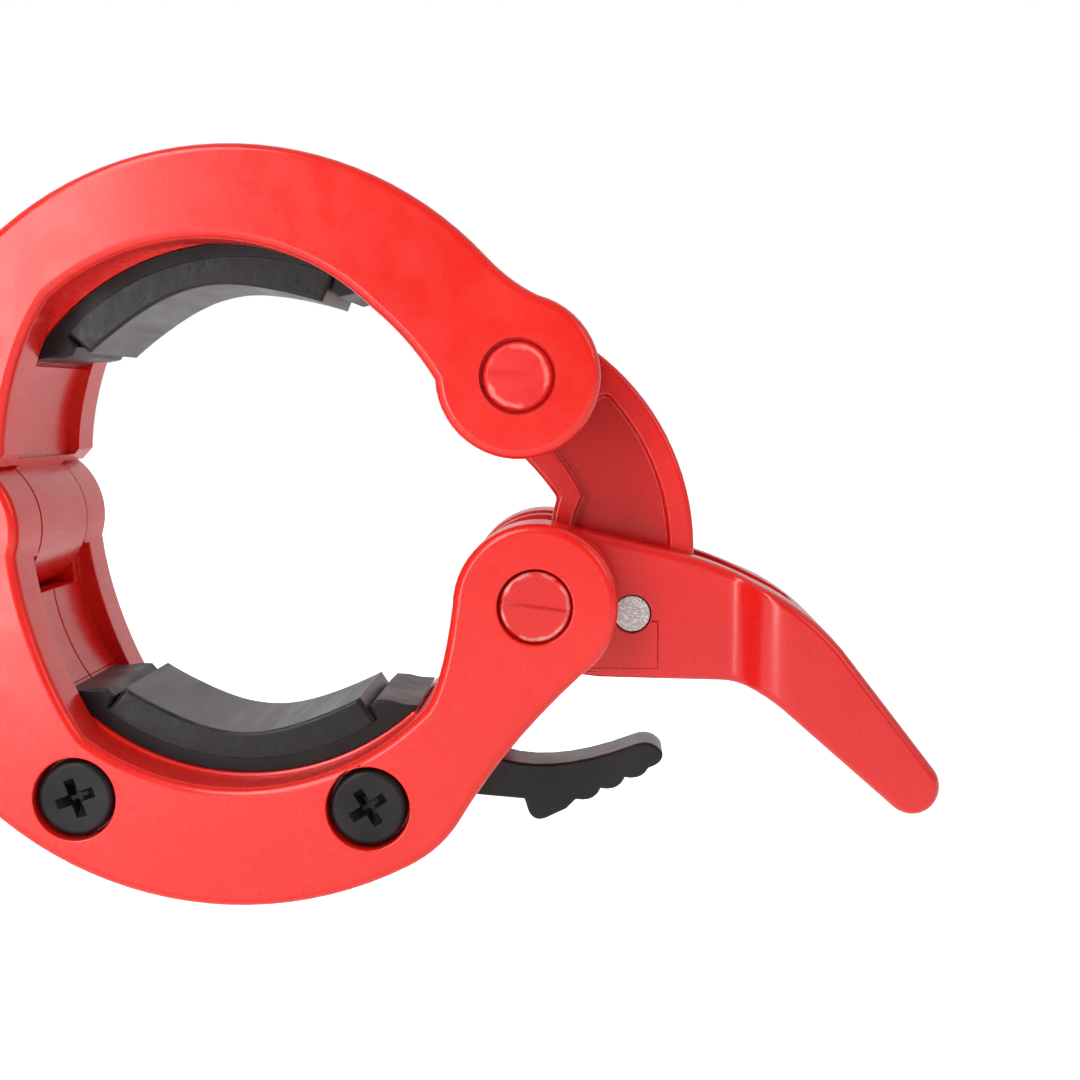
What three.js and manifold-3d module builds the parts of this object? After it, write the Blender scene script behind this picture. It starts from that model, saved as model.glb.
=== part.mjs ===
// Toggle clamp collar for a 50 mm barbell sleeve. Millimetres, +Z up.
// The sleeve axis runs along Y through the origin; the front face looks towards -Y.
// The clamp stands open: the lever is thrown out and the upper jaw is raised.
import * as THREE from 'three';
import { mergeVertices } from 'three/addons/utils/BufferGeometryUtils.js';
import Module from 'manifold-3d';

const wasm = await Module();
wasm.setup();

// ---- driving dimensions ----------------------------------------------------------------
const HALF_WIDTH = 18; // jaws, along the sleeve
const CLEARANCE = 0.3; // running gap between neighbouring pieces
const SEAM = 0.15; // each jaw half stops this far from the middle plane

const HINGE = [-34.6, -0.5]; // jaw hinge, (x, z)
const LEVER_PIVOT = [35, -9];
const LINK_PIVOT = [33, 17.5]; // on the raised upper jaw
const LINK_PIN = [46.3, -10.8]; // steel pin between link and lever
const LATCH_PIVOT = [15.5, -32.7]; // right screw
const LEFT_SCREW = [-19.1, -31.9];
const JAW_SWING = 5.5785; // degrees that the upper jaw is raised
const LEVER_SWING = 84; // degrees that the lever turns to lock
const LINK_SWING = 19.664; // degrees that the link turns in the upper jaw meanwhile

const EAR_RADIUS = 9.5;
const SEAT_RADIUS = 30.1; // raised land that carries the pad base
const FLANGE_RADIUS = 30.5; // lower jaw, about the sleeve axis
const UPPER_FLANGE_CENTRE = [-2.6, 2.4]; // the upper flanges lean in towards the link
const UPPER_FLANGE_RADIUS = 27.7;
const LOWER_OUTER_RADIUS = 44.1;
const UPPER_OUTER_RADIUS = 40.6;
const PAD_HALF_WIDTH = 10.5;
const LAND_HALF_WIDTH = 11;
const LAND_DEPTH = 2; // the land reaches this far into the jaw
const BASE_HALF_ANGLE = 45.5; // degrees, to the tips of the base strip's lobes
const PAD_HALF_ANGLE = 35; // degrees
const PAD_MID_RADIUS = 25.2;
const PAD_SQUEEZE = 0.55; // how far the pad's two bearing ridges stand in
const BASE_RADIUS = 28.4; // joint between pad and pad base
const LOWER_PAD_AZIMUTH = -92;
const UPPER_PAD_AZIMUTH = 96.5; // with the jaws closed

const LEVER_HALF_WIDTH = 8.8;
const CHEEK_RADIUS = 9.3;
const FORK_HALF_GAP = 9.1; // between the lower jaw's ears, each side of the middle
const SLOT_HALF_WIDTH = 4.5; // between the lever's cheeks
const LINK_HALF_WIDTH = 4.2;
const LINK_WEB_HALF = 1.9;
const HANDLE_HALF_WIDTH = 13;
const CATCH_RADIUS = 28.6; // the lever's slot ends here, about its pivot
const LATCH_HALF_WIDTH = 3.8;

const TRUNNION_RADIUS = 4.1;
const TRUNNION_HOLE = 4.4;
const TRUNNION_END = 17.5;
const STEEL_PIN_RADIUS = 2.2;
const HINGE_PIN_RADIUS = 3;
const PIN_SLACK = 0.2; // the hinge pin in its holes
const HINGE_PIN_END = 17.6;
const SCREW_RADIUS = 2;
const SLEEVE_WALL = 0.9; // sleeve that the latch turns on
const SPACER_WALL = 1.6;
const SPACER_END = 8;
const SCREW_HEAD_RADIUS = 4.5;
const COUNTERBORE_RADIUS = 4.9;
const COUNTERBORE_FLOOR = 14.6;
const NUT_RADIUS = 4;
const SLIP = 0.1; // sleeves and nuts round the screws
const PRESS = 0.05; // heads and nuts off their seats, strips off their seats
const HEAD_FACE = 17.5;
const LATCH_BARREL = 3.8; // the latch's round end

const rad = THREE.MathUtils.degToRad;

// ---- geometry helpers ------------------------------------------------------------------
function solid(geometry) {
  const plain = geometry.clone();
  plain.deleteAttribute('normal');
  plain.deleteAttribute('uv');
  const merged = mergeVertices(plain, 1e-4);
  return new wasm.Manifold(new wasm.Mesh({
    numProp: 3,
    vertProperties: new Float32Array(merged.attributes.position.array),
    triVerts: new Uint32Array(merged.index.array),
  }));
}

// A front-view outline (x, z) drawn out along the sleeve from y = low to y = high.
function slab(shape, low, high, segments = 8) {
  const geometry = new THREE.ExtrudeGeometry(shape, {
    depth: high - low, bevelEnabled: false, curveSegments: segments, steps: 1,
  });
  return solid(geometry.rotateX(Math.PI / 2).translate(0, high, 0));
}

// A plan-view outline (x, y) drawn out upwards from z = low to z = high.
function plate(shape, low, high, segments = 8) {
  const geometry = new THREE.ExtrudeGeometry(shape, {
    depth: high - low, bevelEnabled: false, curveSegments: segments, steps: 1,
  });
  return solid(geometry.translate(0, 0, low));
}

// A round bar along the sleeve direction.
function bar([x, z], radius, low, high, sides = 32) {
  const geometry = new THREE.CylinderGeometry(radius, radius, high - low, sides);
  return solid(geometry.translate(x, (low + high) / 2, z));
}

function tube(centre, outer, inner, low, high, sides = 32) {
  return bar(centre, outer, low, high, sides).subtract(bar(centre, inner, low - 1, high + 1, sides));
}

function polygon(points) {
  return new THREE.Shape(points.map(([x, z]) => new THREE.Vector2(x, z)));
}

function polar(radius, degrees) {
  return [radius * Math.cos(rad(degrees)), radius * Math.sin(rad(degrees))];
}

function polarAbout([cx, cz], radius, degrees) {
  const [x, z] = polar(radius, degrees);
  return [cx + x, cz + z];
}

// Part of a ring about the origin, between two angles.
function ringSector(inner, outer, from, to) {
  const shape = new THREE.Shape();
  shape.absarc(0, 0, outer, rad(from), rad(to), false);
  shape.absarc(0, 0, inner, rad(to), rad(from), true);
  return shape;
}

function join(...solids) {
  return solids.reduce((sum, item) => sum.add(item));
}

function cut(base, ...tools) {
  return tools.reduce((rest, tool) => rest.subtract(tool), base);
}

function geometryOf(manifold) {
  const { vertProperties, triVerts } = manifold.getMesh();
  const geometry = new THREE.BufferGeometry();
  geometry.setAttribute('position', new THREE.BufferAttribute(new Float32Array(vertProperties), 3));
  geometry.setIndex(new THREE.BufferAttribute(new Uint32Array(triVerts), 1));
  geometry.computeVertexNormals();
  return geometry;
}

// Turns a point about a centre, by the right-hand rule about +Y.
function turned([x, z], [cx, cz], degrees) {
  const c = Math.cos(rad(degrees));
  const s = Math.sin(rad(degrees));
  return [cx + (x - cx) * c + (z - cz) * s, cz - (x - cx) * s + (z - cz) * c];
}

// ---- materials -------------------------------------------------------------------------
const redNylon = { color: 0xf03a30, roughness: 0.32, metalness: 0 };
const darkRedNylon = { color: 0xe23a33, roughness: 0.4, metalness: 0 };
const blackRubber = { color: 0x37302f, roughness: 0.85, metalness: 0 };
const blackNylon = { color: 0x3a3438, roughness: 0.45, metalness: 0 };
const blackSteel = { color: 0x46423f, roughness: 0.5, metalness: 0.6 };
const brightSteel = { color: 0xbfbfbf, roughness: 0.4, metalness: 1 };

function piece(name, manifold, finish) {
  const mesh = new THREE.Mesh(geometryOf(manifold), new THREE.MeshStandardMaterial(finish));
  mesh.name = name;
  return mesh;
}

// ---- lower jaw -------------------------------------------------------------------------
function lowerJawOutline() {
  const shape = new THREE.Shape();
  shape.absarc(0, -0.5, LOWER_OUTER_RADIUS, Math.PI, rad(297), false);
  shape.quadraticCurveTo(24, -37.8, 26.2, -34.2);
  shape.quadraticCurveTo(31.5, -25.2, 40.3, -17);
  shape.absarc(...LEVER_PIVOT, EAR_RADIUS, rad(-56), rad(180), false);
  shape.quadraticCurveTo(24.3, -17.6, ...polar(FLANGE_RADIUS, -43));
  shape.absarc(0, 0, FLANGE_RADIUS, rad(-43), rad(-125), true);
  shape.bezierCurveTo(-19.2, -23.6, -24.4, -13.5, ...polarAbout(HINGE, EAR_RADIUS, -18));
  shape.absarc(...HINGE, EAR_RADIUS, rad(-18), Math.PI, false);
  return shape;
}

// Room between the right ears for the lever's cheeks, down to the locked position.
function leverChannel() {
  return polygon([[20, 6], [20, -16.5], [26.1, -16.5], [27, -32.5], [60, -32.5], [60, 6]]);
}

// Room between the left ears for the upper jaw's knuckle.
function knuckleGap() {
  return polygon([[-50, 20], [-50, -9], [-20, -9], [-20, 20]]);
}

// Room for the latch: round its pivot, along its arm and out past its heel.
function latchCavity() {
  return polygon([
    [15.5, -28.1], [31.5, -26.6], [40, -26.6], [40, -50], [22, -50], [18.6, -41.6], [12.6, -36.4],
  ]);
}

// The land that carries a base strip, and the pocket that keeps the flanges clear of the strip.
function land(azimuth) {
  const reach = BASE_HALF_ANGLE - 1.5;
  const sector = ringSector(SEAT_RADIUS, SEAT_RADIUS + LAND_DEPTH, azimuth - reach, azimuth + reach);
  return slab(sector, -LAND_HALF_WIDTH, LAND_HALF_WIDTH, 11);
}

function stripPocket(azimuth) {
  const reach = BASE_HALF_ANGLE + 0.7;
  const sector = ringSector(PAD_MID_RADIUS - 2, SEAT_RADIUS, azimuth - reach, azimuth + reach);
  return slab(sector, -LAND_HALF_WIDTH, LAND_HALF_WIDTH, 11);
}

function lowerJaw() {
  const full = HALF_WIDTH + 1;
  const body = join(
    slab(lowerJawOutline(), -HALF_WIDTH, HALF_WIDTH, 11),
    land(LOWER_PAD_AZIMUTH),
  );
  const latchRoom = LATCH_HALF_WIDTH + 2 * CLEARANCE;
  const screwCuts = [LATCH_PIVOT, LEFT_SCREW].flatMap((centre) => [
    bar(centre, SCREW_RADIUS + CLEARANCE, -full, full, 24),
    bar(centre, COUNTERBORE_RADIUS, -full, -COUNTERBORE_FLOOR, 40),
    bar(centre, NUT_RADIUS + CLEARANCE, COUNTERBORE_FLOOR, full, 6),
  ]);
  const spacerRadius = SCREW_RADIUS + SPACER_WALL + CLEARANCE;
  const spacerReach = SPACER_END + CLEARANCE;
  return cut(
    body,
    stripPocket(LOWER_PAD_AZIMUTH),
    slab(leverChannel(), -FORK_HALF_GAP, FORK_HALF_GAP),
    bar(LEVER_PIVOT, EAR_RADIUS + CLEARANCE, -FORK_HALF_GAP, FORK_HALF_GAP, 36),
    slab(knuckleGap(), -FORK_HALF_GAP, FORK_HALF_GAP),
    bar(HINGE, EAR_RADIUS + 2 * CLEARANCE, -FORK_HALF_GAP, FORK_HALF_GAP, 36),
    slab(latchCavity(), -latchRoom, latchRoom),
    bar(LATCH_PIVOT, LATCH_BARREL + 2 * CLEARANCE, -latchRoom, latchRoom, 40),
    bar(LEVER_PIVOT, TRUNNION_HOLE, -full, full, 40),
    bar(HINGE, HINGE_PIN_RADIUS + PIN_SLACK, -full, full),
    bar(LEFT_SCREW, spacerRadius, -spacerReach, spacerReach, 24),
    ...screwCuts,
  );
}

// ---- upper jaw, drawn closed -----------------------------------------------------------
const LINK_PIVOT_CLOSED = turned(LINK_PIVOT, HINGE, JAW_SWING);

function upperJawOutline() {
  const [px, pz] = LINK_PIVOT_CLOSED;
  const shape = new THREE.Shape();
  const flangeStart = polarAbout(UPPER_FLANGE_CENTRE, UPPER_FLANGE_RADIUS, 125);
  shape.moveTo(...flangeStart);
  shape.absarc(...UPPER_FLANGE_CENTRE, UPPER_FLANGE_RADIUS, rad(125), rad(40), true);
  shape.quadraticCurveTo(22.6, 16.2, ...polarAbout(LINK_PIVOT_CLOSED, EAR_RADIUS, 177));
  shape.absarc(px, pz, EAR_RADIUS, rad(177), rad(430), false);
  shape.quadraticCurveTo(34.6, 21.6, ...polar(UPPER_OUTER_RADIUS, 37.5));
  shape.absarc(0, 0, UPPER_OUTER_RADIUS, rad(37.5), rad(166), false);
  shape.lineTo(...HINGE);
  shape.lineTo(-25.8, 7.6);
  shape.bezierCurveTo(-25.2, 13, -22.5, 20.5, ...flangeStart);
  return shape;
}

// Room between the right ears for the link.
function linkGap() {
  return polygon([[20, -6], [20, 14], [28, 22], [60, 22], [60, -6]]);
}

function upperJaw() {
  const full = HALF_WIDTH + 1;
  const gap = LINK_HALF_WIDTH + CLEARANCE;
  const flanges = cut(
    slab(upperJawOutline(), -HALF_WIDTH, HALF_WIDTH, 11),
    bar(HINGE, EAR_RADIUS + 2 * CLEARANCE, -full, full, 48),
  );
  const knuckle = join(
    slab(upperJawOutline(), -LEVER_HALF_WIDTH, LEVER_HALF_WIDTH, 11),
    bar(HINGE, EAR_RADIUS, -LEVER_HALF_WIDTH, LEVER_HALF_WIDTH, 48),
  );
  return cut(
    join(flanges, knuckle, land(UPPER_PAD_AZIMUTH)),
    stripPocket(UPPER_PAD_AZIMUTH),
    slab(linkGap(), -gap, gap),
    bar(LINK_PIVOT_CLOSED, TRUNNION_HOLE, -full, full, 40),
    bar(HINGE, HINGE_PIN_RADIUS + PIN_SLACK, -full, full),
  );
}

// ---- rubber grips ----------------------------------------------------------------------
// The bearing surface is a shallow wave: two ridges squeeze the sleeve, the middle clears it.
function padOutline(azimuth) {
  const steps = 20;
  const inner = [];
  for (let i = 0; i <= steps; i += 1) {
    const t = (2 * i) / steps - 1;
    const wave = Math.sin(0.714 * Math.PI * t) ** 2;
    inner.push(polar(PAD_MID_RADIUS - PAD_SQUEEZE * wave, azimuth + t * PAD_HALF_ANGLE));
  }
  const shape = polygon(inner);
  const [from, to] = [azimuth + PAD_HALF_ANGLE, azimuth - PAD_HALF_ANGLE];
  shape.absarc(0, 0, BASE_RADIUS - PRESS, rad(from), rad(to), true);
  return shape;
}

function pad(azimuth) {
  return slab(padOutline(azimuth), -PAD_HALF_WIDTH, PAD_HALF_WIDTH, 10);
}

// The base strip lines the seat and ends in a thick lobe past each end of the pad.
function padBaseOutline(azimuth) {
  const outer = SEAT_RADIUS - SLIP;
  const lobeStart = PAD_HALF_ANGLE + 0.6;
  const lobe = [
    [lobeStart, BASE_RADIUS], [35.9, 26.5], [38.5, 26.3], [41, 27.3], [43.2, 28.8], [BASE_HALF_ANGLE, outer],
  ];
  const start = lobe.map(([angle, radius]) => polar(radius, azimuth - angle)).reverse();
  const end = lobe.map(([angle, radius]) => polar(radius, azimuth + angle));
  const shape = polygon(start);
  shape.absarc(0, 0, BASE_RADIUS, rad(azimuth - lobeStart), rad(azimuth + lobeStart), false);
  end.forEach(([x, z]) => shape.lineTo(x, z));
  const [from, to] = [azimuth + BASE_HALF_ANGLE, azimuth - BASE_HALF_ANGLE];
  shape.absarc(0, 0, outer, rad(from), rad(to), true);
  return shape;
}

function padBase(azimuth) {
  return slab(padBaseOutline(azimuth), -PAD_HALF_WIDTH, PAD_HALF_WIDTH, 10);
}

// ---- link ------------------------------------------------------------------------------
const LINK_ARC_CENTRE = [23.7, -3.4];
const LINK_ARC_RADIUS = 30.2;
const LINK_BOSS_RADIUS = 7.3;
const LINK_EYE_RADIUS = 6.2;
const LINK_RIM = 3;

function linkOutline() {
  const shape = new THREE.Shape();
  shape.absarc(...LINK_PIVOT, LINK_BOSS_RADIUS, rad(66), rad(236), false);
  shape.quadraticCurveTo(34.2, 7.2, 37.1, 2.9);
  shape.quadraticCurveTo(36.4, 0.6, 36.3, -1.4);
  shape.quadraticCurveTo(36.2, -8, 41.4, -14.6);
  shape.absarc(...LINK_PIN, LINK_EYE_RADIUS, rad(218), rad(342), false);
  shape.absarc(...LINK_ARC_CENTRE, LINK_ARC_RADIUS, rad(-15), rad(63), false);
  return shape;
}

// The sunk panel on each face, inside the rims.
function linkPanel() {
  const shape = new THREE.Shape();
  shape.absarc(...LINK_ARC_CENTRE, LINK_ARC_RADIUS - LINK_RIM, rad(-8), rad(41), false);
  shape.quadraticCurveTo(41.4, 12.2, 36.6, 8.6);
  shape.quadraticCurveTo(38.8, 6, 40.2, 3.1);
  shape.quadraticCurveTo(39, 0.8, 38.9, -1);
  shape.quadraticCurveTo(39, -4.4, 41.4, -5.6);
  shape.quadraticCurveTo(45, -3.4, 47.6, -4);
  return shape;
}

// The steel pin's path seen from the link, when lever, jaw and link turn in proportion.
function pinPath(steps) {
  const path = [];
  for (let i = 0; i <= steps; i += 1) {
    const share = i / steps;
    const pin = turned(LINK_PIN, LEVER_PIVOT, LEVER_SWING * share);
    const unhinged = turned(pin, HINGE, -JAW_SWING * share);
    path.push(turned(unhinged, LINK_PIVOT, -LINK_SWING * share));
  }
  return path;
}

function link() {
  const reach = LINK_HALF_WIDTH + 1;
  const body = slab(linkOutline(), -LINK_HALF_WIDTH, LINK_HALF_WIDTH, 9);
  const slotRadius = STEEL_PIN_RADIUS + CLEARANCE;
  const pinSlot = pinPath(8).map((centre) => bar(centre, slotRadius, -reach, reach, 20));
  return cut(
    body,
    slab(linkPanel(), -reach, -LINK_WEB_HALF, 10),
    slab(linkPanel(), LINK_WEB_HALF, reach, 10),
    bar(LINK_PIVOT, TRUNNION_HOLE, -reach, reach, 32),
    ...pinSlot,
  );
}

// ---- lever -----------------------------------------------------------------------------
function leverSide() {
  const shape = new THREE.Shape();
  shape.absarc(...LEVER_PIVOT, CHEEK_RADIUS, rad(72), rad(285), false);
  shape.lineTo(42.3, -18.6);
  shape.lineTo(56.8, -18.9);
  shape.quadraticCurveTo(60.6, -18.9, 64.2, -21.9);
  shape.lineTo(77.3, -33.3);
  shape.absarc(79.5, -30.9, 3.3, rad(228), rad(398), false);
  shape.lineTo(72.2, -16);
  shape.quadraticCurveTo(67.8, -10, 61, -6.9);
  shape.quadraticCurveTo(57, -4.9, 53.9, -4);
  return shape;
}

// Seen from above, the narrow cheeks swell into the wide handle.
function leverPlan() {
  const shape = new THREE.Shape();
  const tip = 84;
  const corner = 3;
  shape.moveTo(20, -LEVER_HALF_WIDTH);
  shape.lineTo(57.5, -LEVER_HALF_WIDTH);
  shape.bezierCurveTo(60.5, -LEVER_HALF_WIDTH, 60, -HANDLE_HALF_WIDTH, 64, -HANDLE_HALF_WIDTH);
  shape.lineTo(tip - corner, -HANDLE_HALF_WIDTH);
  shape.quadraticCurveTo(tip, -HANDLE_HALF_WIDTH, tip, -HANDLE_HALF_WIDTH + corner);
  shape.lineTo(tip, HANDLE_HALF_WIDTH - corner);
  shape.quadraticCurveTo(tip, HANDLE_HALF_WIDTH, tip - corner, HANDLE_HALF_WIDTH);
  shape.lineTo(64, HANDLE_HALF_WIDTH);
  shape.bezierCurveTo(60, HANDLE_HALF_WIDTH, 60.5, LEVER_HALF_WIDTH, 57.5, LEVER_HALF_WIDTH);
  shape.lineTo(20, LEVER_HALF_WIDTH);
  return shape;
}

function lever() {
  const reach = HANDLE_HALF_WIDTH + 1;
  const body = slab(leverSide(), -reach, reach, 14).intersect(plate(leverPlan(), -50, 20, 8));
  const upperSlot = polygon([[20, 12], [20, -9], [62, -9], [63.5, -12.5], [66, -12.5], [66, 12]]);
  const trunnions = [-1, 1].map((side) => {
    const ends = [side * (LEVER_HALF_WIDTH - 1), side * TRUNNION_END].sort((a, b) => a - b);
    return bar(LEVER_PIVOT, TRUNNION_RADIUS, ...ends, 36);
  });
  return cut(
    join(body, ...trunnions),
    bar(LEVER_PIVOT, CATCH_RADIUS, -SLOT_HALF_WIDTH, SLOT_HALF_WIDTH, 72),
    slab(upperSlot, -SLOT_HALF_WIDTH, SLOT_HALF_WIDTH),
    bar(LINK_PIN, STEEL_PIN_RADIUS + SLIP, -reach, reach, 32),
  );
}

// ---- release latch ---------------------------------------------------------------------
function latchOutline() {
  const shape = new THREE.Shape();
  shape.absarc(...LATCH_PIVOT, LATCH_BARREL, rad(90), rad(230), false);
  shape.lineTo(20.4, -41.2);
  shape.quadraticCurveTo(24.4, -39.4, 26.9, -34.2);
  shape.lineTo(33.1, -34.7);
  shape.lineTo(33.6, -36.3);
  shape.quadraticCurveTo(34.3, -37.7, 35.8, -37.1);
  shape.lineTo(38.3, -35.9);
  [[39.5, -34.7], [42.5, -33.3], [45.5, -31.9]].forEach(([x, z]) => {
    shape.lineTo(x, z);
    shape.quadraticCurveTo(x + 2.2, z - 0.4, x + 3, z + 1.2);
  });
  shape.quadraticCurveTo(50.6, -30, 50.2, -28.6);
  shape.quadraticCurveTo(48.9, -26.9, 46.8, -27.7);
  shape.quadraticCurveTo(36.8, -31.6, 30.3, -29.6);
  shape.lineTo(15.5, -28.9);
  return shape;
}

function latch() {
  const reach = LATCH_HALF_WIDTH + 1;
  const springPocket = bar(LATCH_PIVOT, 6.2, 0.4, reach, 32);
  return cut(
    slab(latchOutline(), -LATCH_HALF_WIDTH, LATCH_HALF_WIDTH, 8),
    bar(LATCH_PIVOT, SCREW_RADIUS + SLEEVE_WALL + CLEARANCE, -reach, reach),
    springPocket,
  );
}

// Wire round the sleeve: one arm pushes on the latch, the other stands on the jaw.
function latchSpring() {
  const coilRadius = 3.75;
  const turns = 2.25;
  const firstTurn = 1; // y of the first turn
  const lastTurn = 3.2;
  const points = [new THREE.Vector3(LATCH_PIVOT[0] + 4.6, firstTurn, LATCH_PIVOT[1] + coilRadius)];
  const steps = 24;
  for (let i = 0; i <= steps; i += 1) {
    const [x, z] = polarAbout(LATCH_PIVOT, coilRadius, 90 + (360 * turns * i) / steps);
    points.push(new THREE.Vector3(x, firstTurn + ((lastTurn - firstTurn) * i) / steps, z));
  }
  points.push(new THREE.Vector3(LATCH_PIVOT[0] - coilRadius, lastTurn, LATCH_PIVOT[1] - 2));
  const wire = new THREE.Shape();
  wire.absarc(0, 0, 0.33, 0, 2 * Math.PI, false);
  const geometry = new THREE.ExtrudeGeometry(wire, {
    extrudePath: new THREE.CatmullRomCurve3(points), steps: 48, bevelEnabled: false, curveSegments: 3,
  });
  return solid(geometry);
}

// ---- screws, nuts, sleeves and pins ----------------------------------------------------
// A pan head with a cross recess, sunk in the front counterbore.
function screw(centre) {
  const body = join(
    bar(centre, SCREW_HEAD_RADIUS, -HEAD_FACE, -COUNTERBORE_FLOOR - PRESS, 40),
    bar(centre, SCREW_RADIUS, -COUNTERBORE_FLOOR - 1, HALF_WIDTH - 0.6, 20),
  );
  const arms = [33, 123].map((degrees) => {
    const blade = new THREE.BoxGeometry(4.8, 2, 1);
    return solid(blade.rotateY(rad(degrees)).translate(centre[0], -HEAD_FACE, centre[1]));
  });
  return cut(body, ...arms);
}

function nut(centre) {
  const hexagon = bar(centre, NUT_RADIUS, COUNTERBORE_FLOOR + PRESS, HALF_WIDTH - 0.4, 6);
  return hexagon.subtract(bar(centre, SCREW_RADIUS + SLIP, COUNTERBORE_FLOOR - 1, HALF_WIDTH, 20));
}

function buildAssembly() {
  const lower = lowerJaw();
  const half = (low, high) => slab(polygon([[-60, -60], [60, -60], [60, 20], [-60, 20]]), low, high);
  const sleeveEnd = LATCH_HALF_WIDTH + CLEARANCE;
  const bore = SCREW_RADIUS + SLIP;
  const steelPinEnd = LEVER_HALF_WIDTH - 0.2;
  const collar = new THREE.Group();
  collar.add(
    piece('lower_jaw_front', lower.intersect(half(-20, -SEAM)), redNylon),
    piece('lower_jaw_rear', lower.intersect(half(SEAM, 20)), redNylon),
    piece('lower_pad', pad(LOWER_PAD_AZIMUTH), blackRubber),
    piece('lower_pad_base', padBase(LOWER_PAD_AZIMUTH), blackNylon),
    piece('hinge_pin', bar(HINGE, HINGE_PIN_RADIUS, -HINGE_PIN_END, HINGE_PIN_END, 28), brightSteel),
    piece('screw_right', screw(LATCH_PIVOT), blackSteel),
    piece('screw_left', screw(LEFT_SCREW), blackSteel),
    piece('nut_right', nut(LATCH_PIVOT), blackSteel),
    piece('nut_left', nut(LEFT_SCREW), blackSteel),
    piece(
      'latch_sleeve',
      tube(LATCH_PIVOT, SCREW_RADIUS + SLEEVE_WALL, bore, -sleeveEnd, sleeveEnd, 28),
      brightSteel,
    ),
    piece(
      'spacer_sleeve',
      tube(LEFT_SCREW, SCREW_RADIUS + SPACER_WALL, bore, -SPACER_END, SPACER_END, 24),
      brightSteel,
    ),
    piece('latch_spring', latchSpring(), brightSteel),
    piece('release_latch', latch(), blackNylon),
    piece('link', link(), redNylon),
    piece('lever', lever(), redNylon),
    piece('link_steel_pin', bar(LINK_PIN, STEEL_PIN_RADIUS, -steelPinEnd, steelPinEnd, 28), brightSteel),
    piece('link_hinge_pin', bar(LINK_PIVOT, TRUNNION_RADIUS, -TRUNNION_END, TRUNNION_END, 36), darkRedNylon),
  );

  // The upper jaw is drawn closed, then raised about the hinge.
  const raised = new THREE.Group();
  raised.position.set(HINGE[0], 0, HINGE[1]);
  raised.rotation.y = rad(-JAW_SWING);
  const upper = new THREE.Group();
  upper.position.set(-HINGE[0], 0, -HINGE[1]);
  upper.add(
    piece('upper_jaw', upperJaw(), redNylon),
    piece('upper_pad', pad(UPPER_PAD_AZIMUTH), blackRubber),
    piece('upper_pad_base', padBase(UPPER_PAD_AZIMUTH), blackNylon),
  );
  raised.add(upper);
  collar.add(raised);
  return collar;
}

const group = buildAssembly();
export default group;
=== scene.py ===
"""Looks of the toggle clamp collar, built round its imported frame.

Sizes inside the classes are millimetres; the meshes are metres. The sleeve axis runs
along Y through the origin, the front face looks towards -Y and +Z is up.
"""

from __future__ import annotations

import logging
import math
from collections.abc import Callable, Sequence
from dataclasses import dataclass
from enum import Enum

import bmesh
import bpy
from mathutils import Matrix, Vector
from mathutils.bvhtree import BVHTree

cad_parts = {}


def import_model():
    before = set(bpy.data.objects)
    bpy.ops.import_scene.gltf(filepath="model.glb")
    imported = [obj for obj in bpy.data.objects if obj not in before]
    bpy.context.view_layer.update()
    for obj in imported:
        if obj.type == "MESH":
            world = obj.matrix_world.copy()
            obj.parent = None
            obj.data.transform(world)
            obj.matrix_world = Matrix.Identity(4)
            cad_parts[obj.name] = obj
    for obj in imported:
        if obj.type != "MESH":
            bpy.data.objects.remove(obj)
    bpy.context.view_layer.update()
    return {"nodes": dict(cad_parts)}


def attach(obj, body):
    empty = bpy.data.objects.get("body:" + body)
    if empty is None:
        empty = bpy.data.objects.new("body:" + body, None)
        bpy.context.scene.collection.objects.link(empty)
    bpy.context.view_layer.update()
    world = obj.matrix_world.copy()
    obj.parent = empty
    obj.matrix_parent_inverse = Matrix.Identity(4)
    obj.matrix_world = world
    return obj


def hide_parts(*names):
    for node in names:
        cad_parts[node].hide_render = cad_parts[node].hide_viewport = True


Piece = bpy.types.Object
Socket = bpy.types.NodeSocket
Material = bpy.types.Material
Point = tuple[float, float]
Span = tuple[float, float]
Colour = tuple[float, float, float]
EdgeTest = Callable[[bmesh.types.BMEdge], bool]
FaceTest = Callable[[bmesh.types.BMFace], bool]

MM = 0.001
TOUCH = 1e-3  # millimetres within which two levels count as the same
SHORTEST = 0.25  # millimetres; an outline has no shorter edge before an arc
SLIVER = 0.01  # millimetres; shorter edges are merged away
FLAT = 0.4  # degrees; faces that meet at less become one
FINEST = 0.03  # millimetres; a bevel narrower than this is left out
NARROWER = 0.6  # what a bevel that strays is narrowed by
SQUARE = 0.99  # how nearly a face's normal must follow the sleeve
LOG = logging.getLogger("collar")


# ---- bench: joinery and the pen -------------------------------------------------------
class Joinery(Enum):
    """How one solid is worked into another."""

    CUT = "DIFFERENCE"
    ADD = "UNION"
    KEEP_COMMON = "INTERSECT"


class Side(Enum):
    """A side of the collar along the sleeve."""

    FRONT = -1
    REAR = 1


class Element(Enum):
    """What an edit picks from a mesh."""

    EDGE = "EDGE"
    FACE = "FACE"


def metric(point: Point, depth: float) -> Vector:
    """Gives the place in metres of a front-view point at a depth along the sleeve."""
    return Vector((point[0], depth, point[1])) * MM


def polar(radius: float, degrees: float, centre: Point = (0.0, 0.0)) -> Point:
    """Gives the point at a radius and a counterclockwise angle about a centre."""
    angle = math.radians(degrees)
    return centre[0] + radius * math.cos(angle), centre[1] + radius * math.sin(angle)


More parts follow.
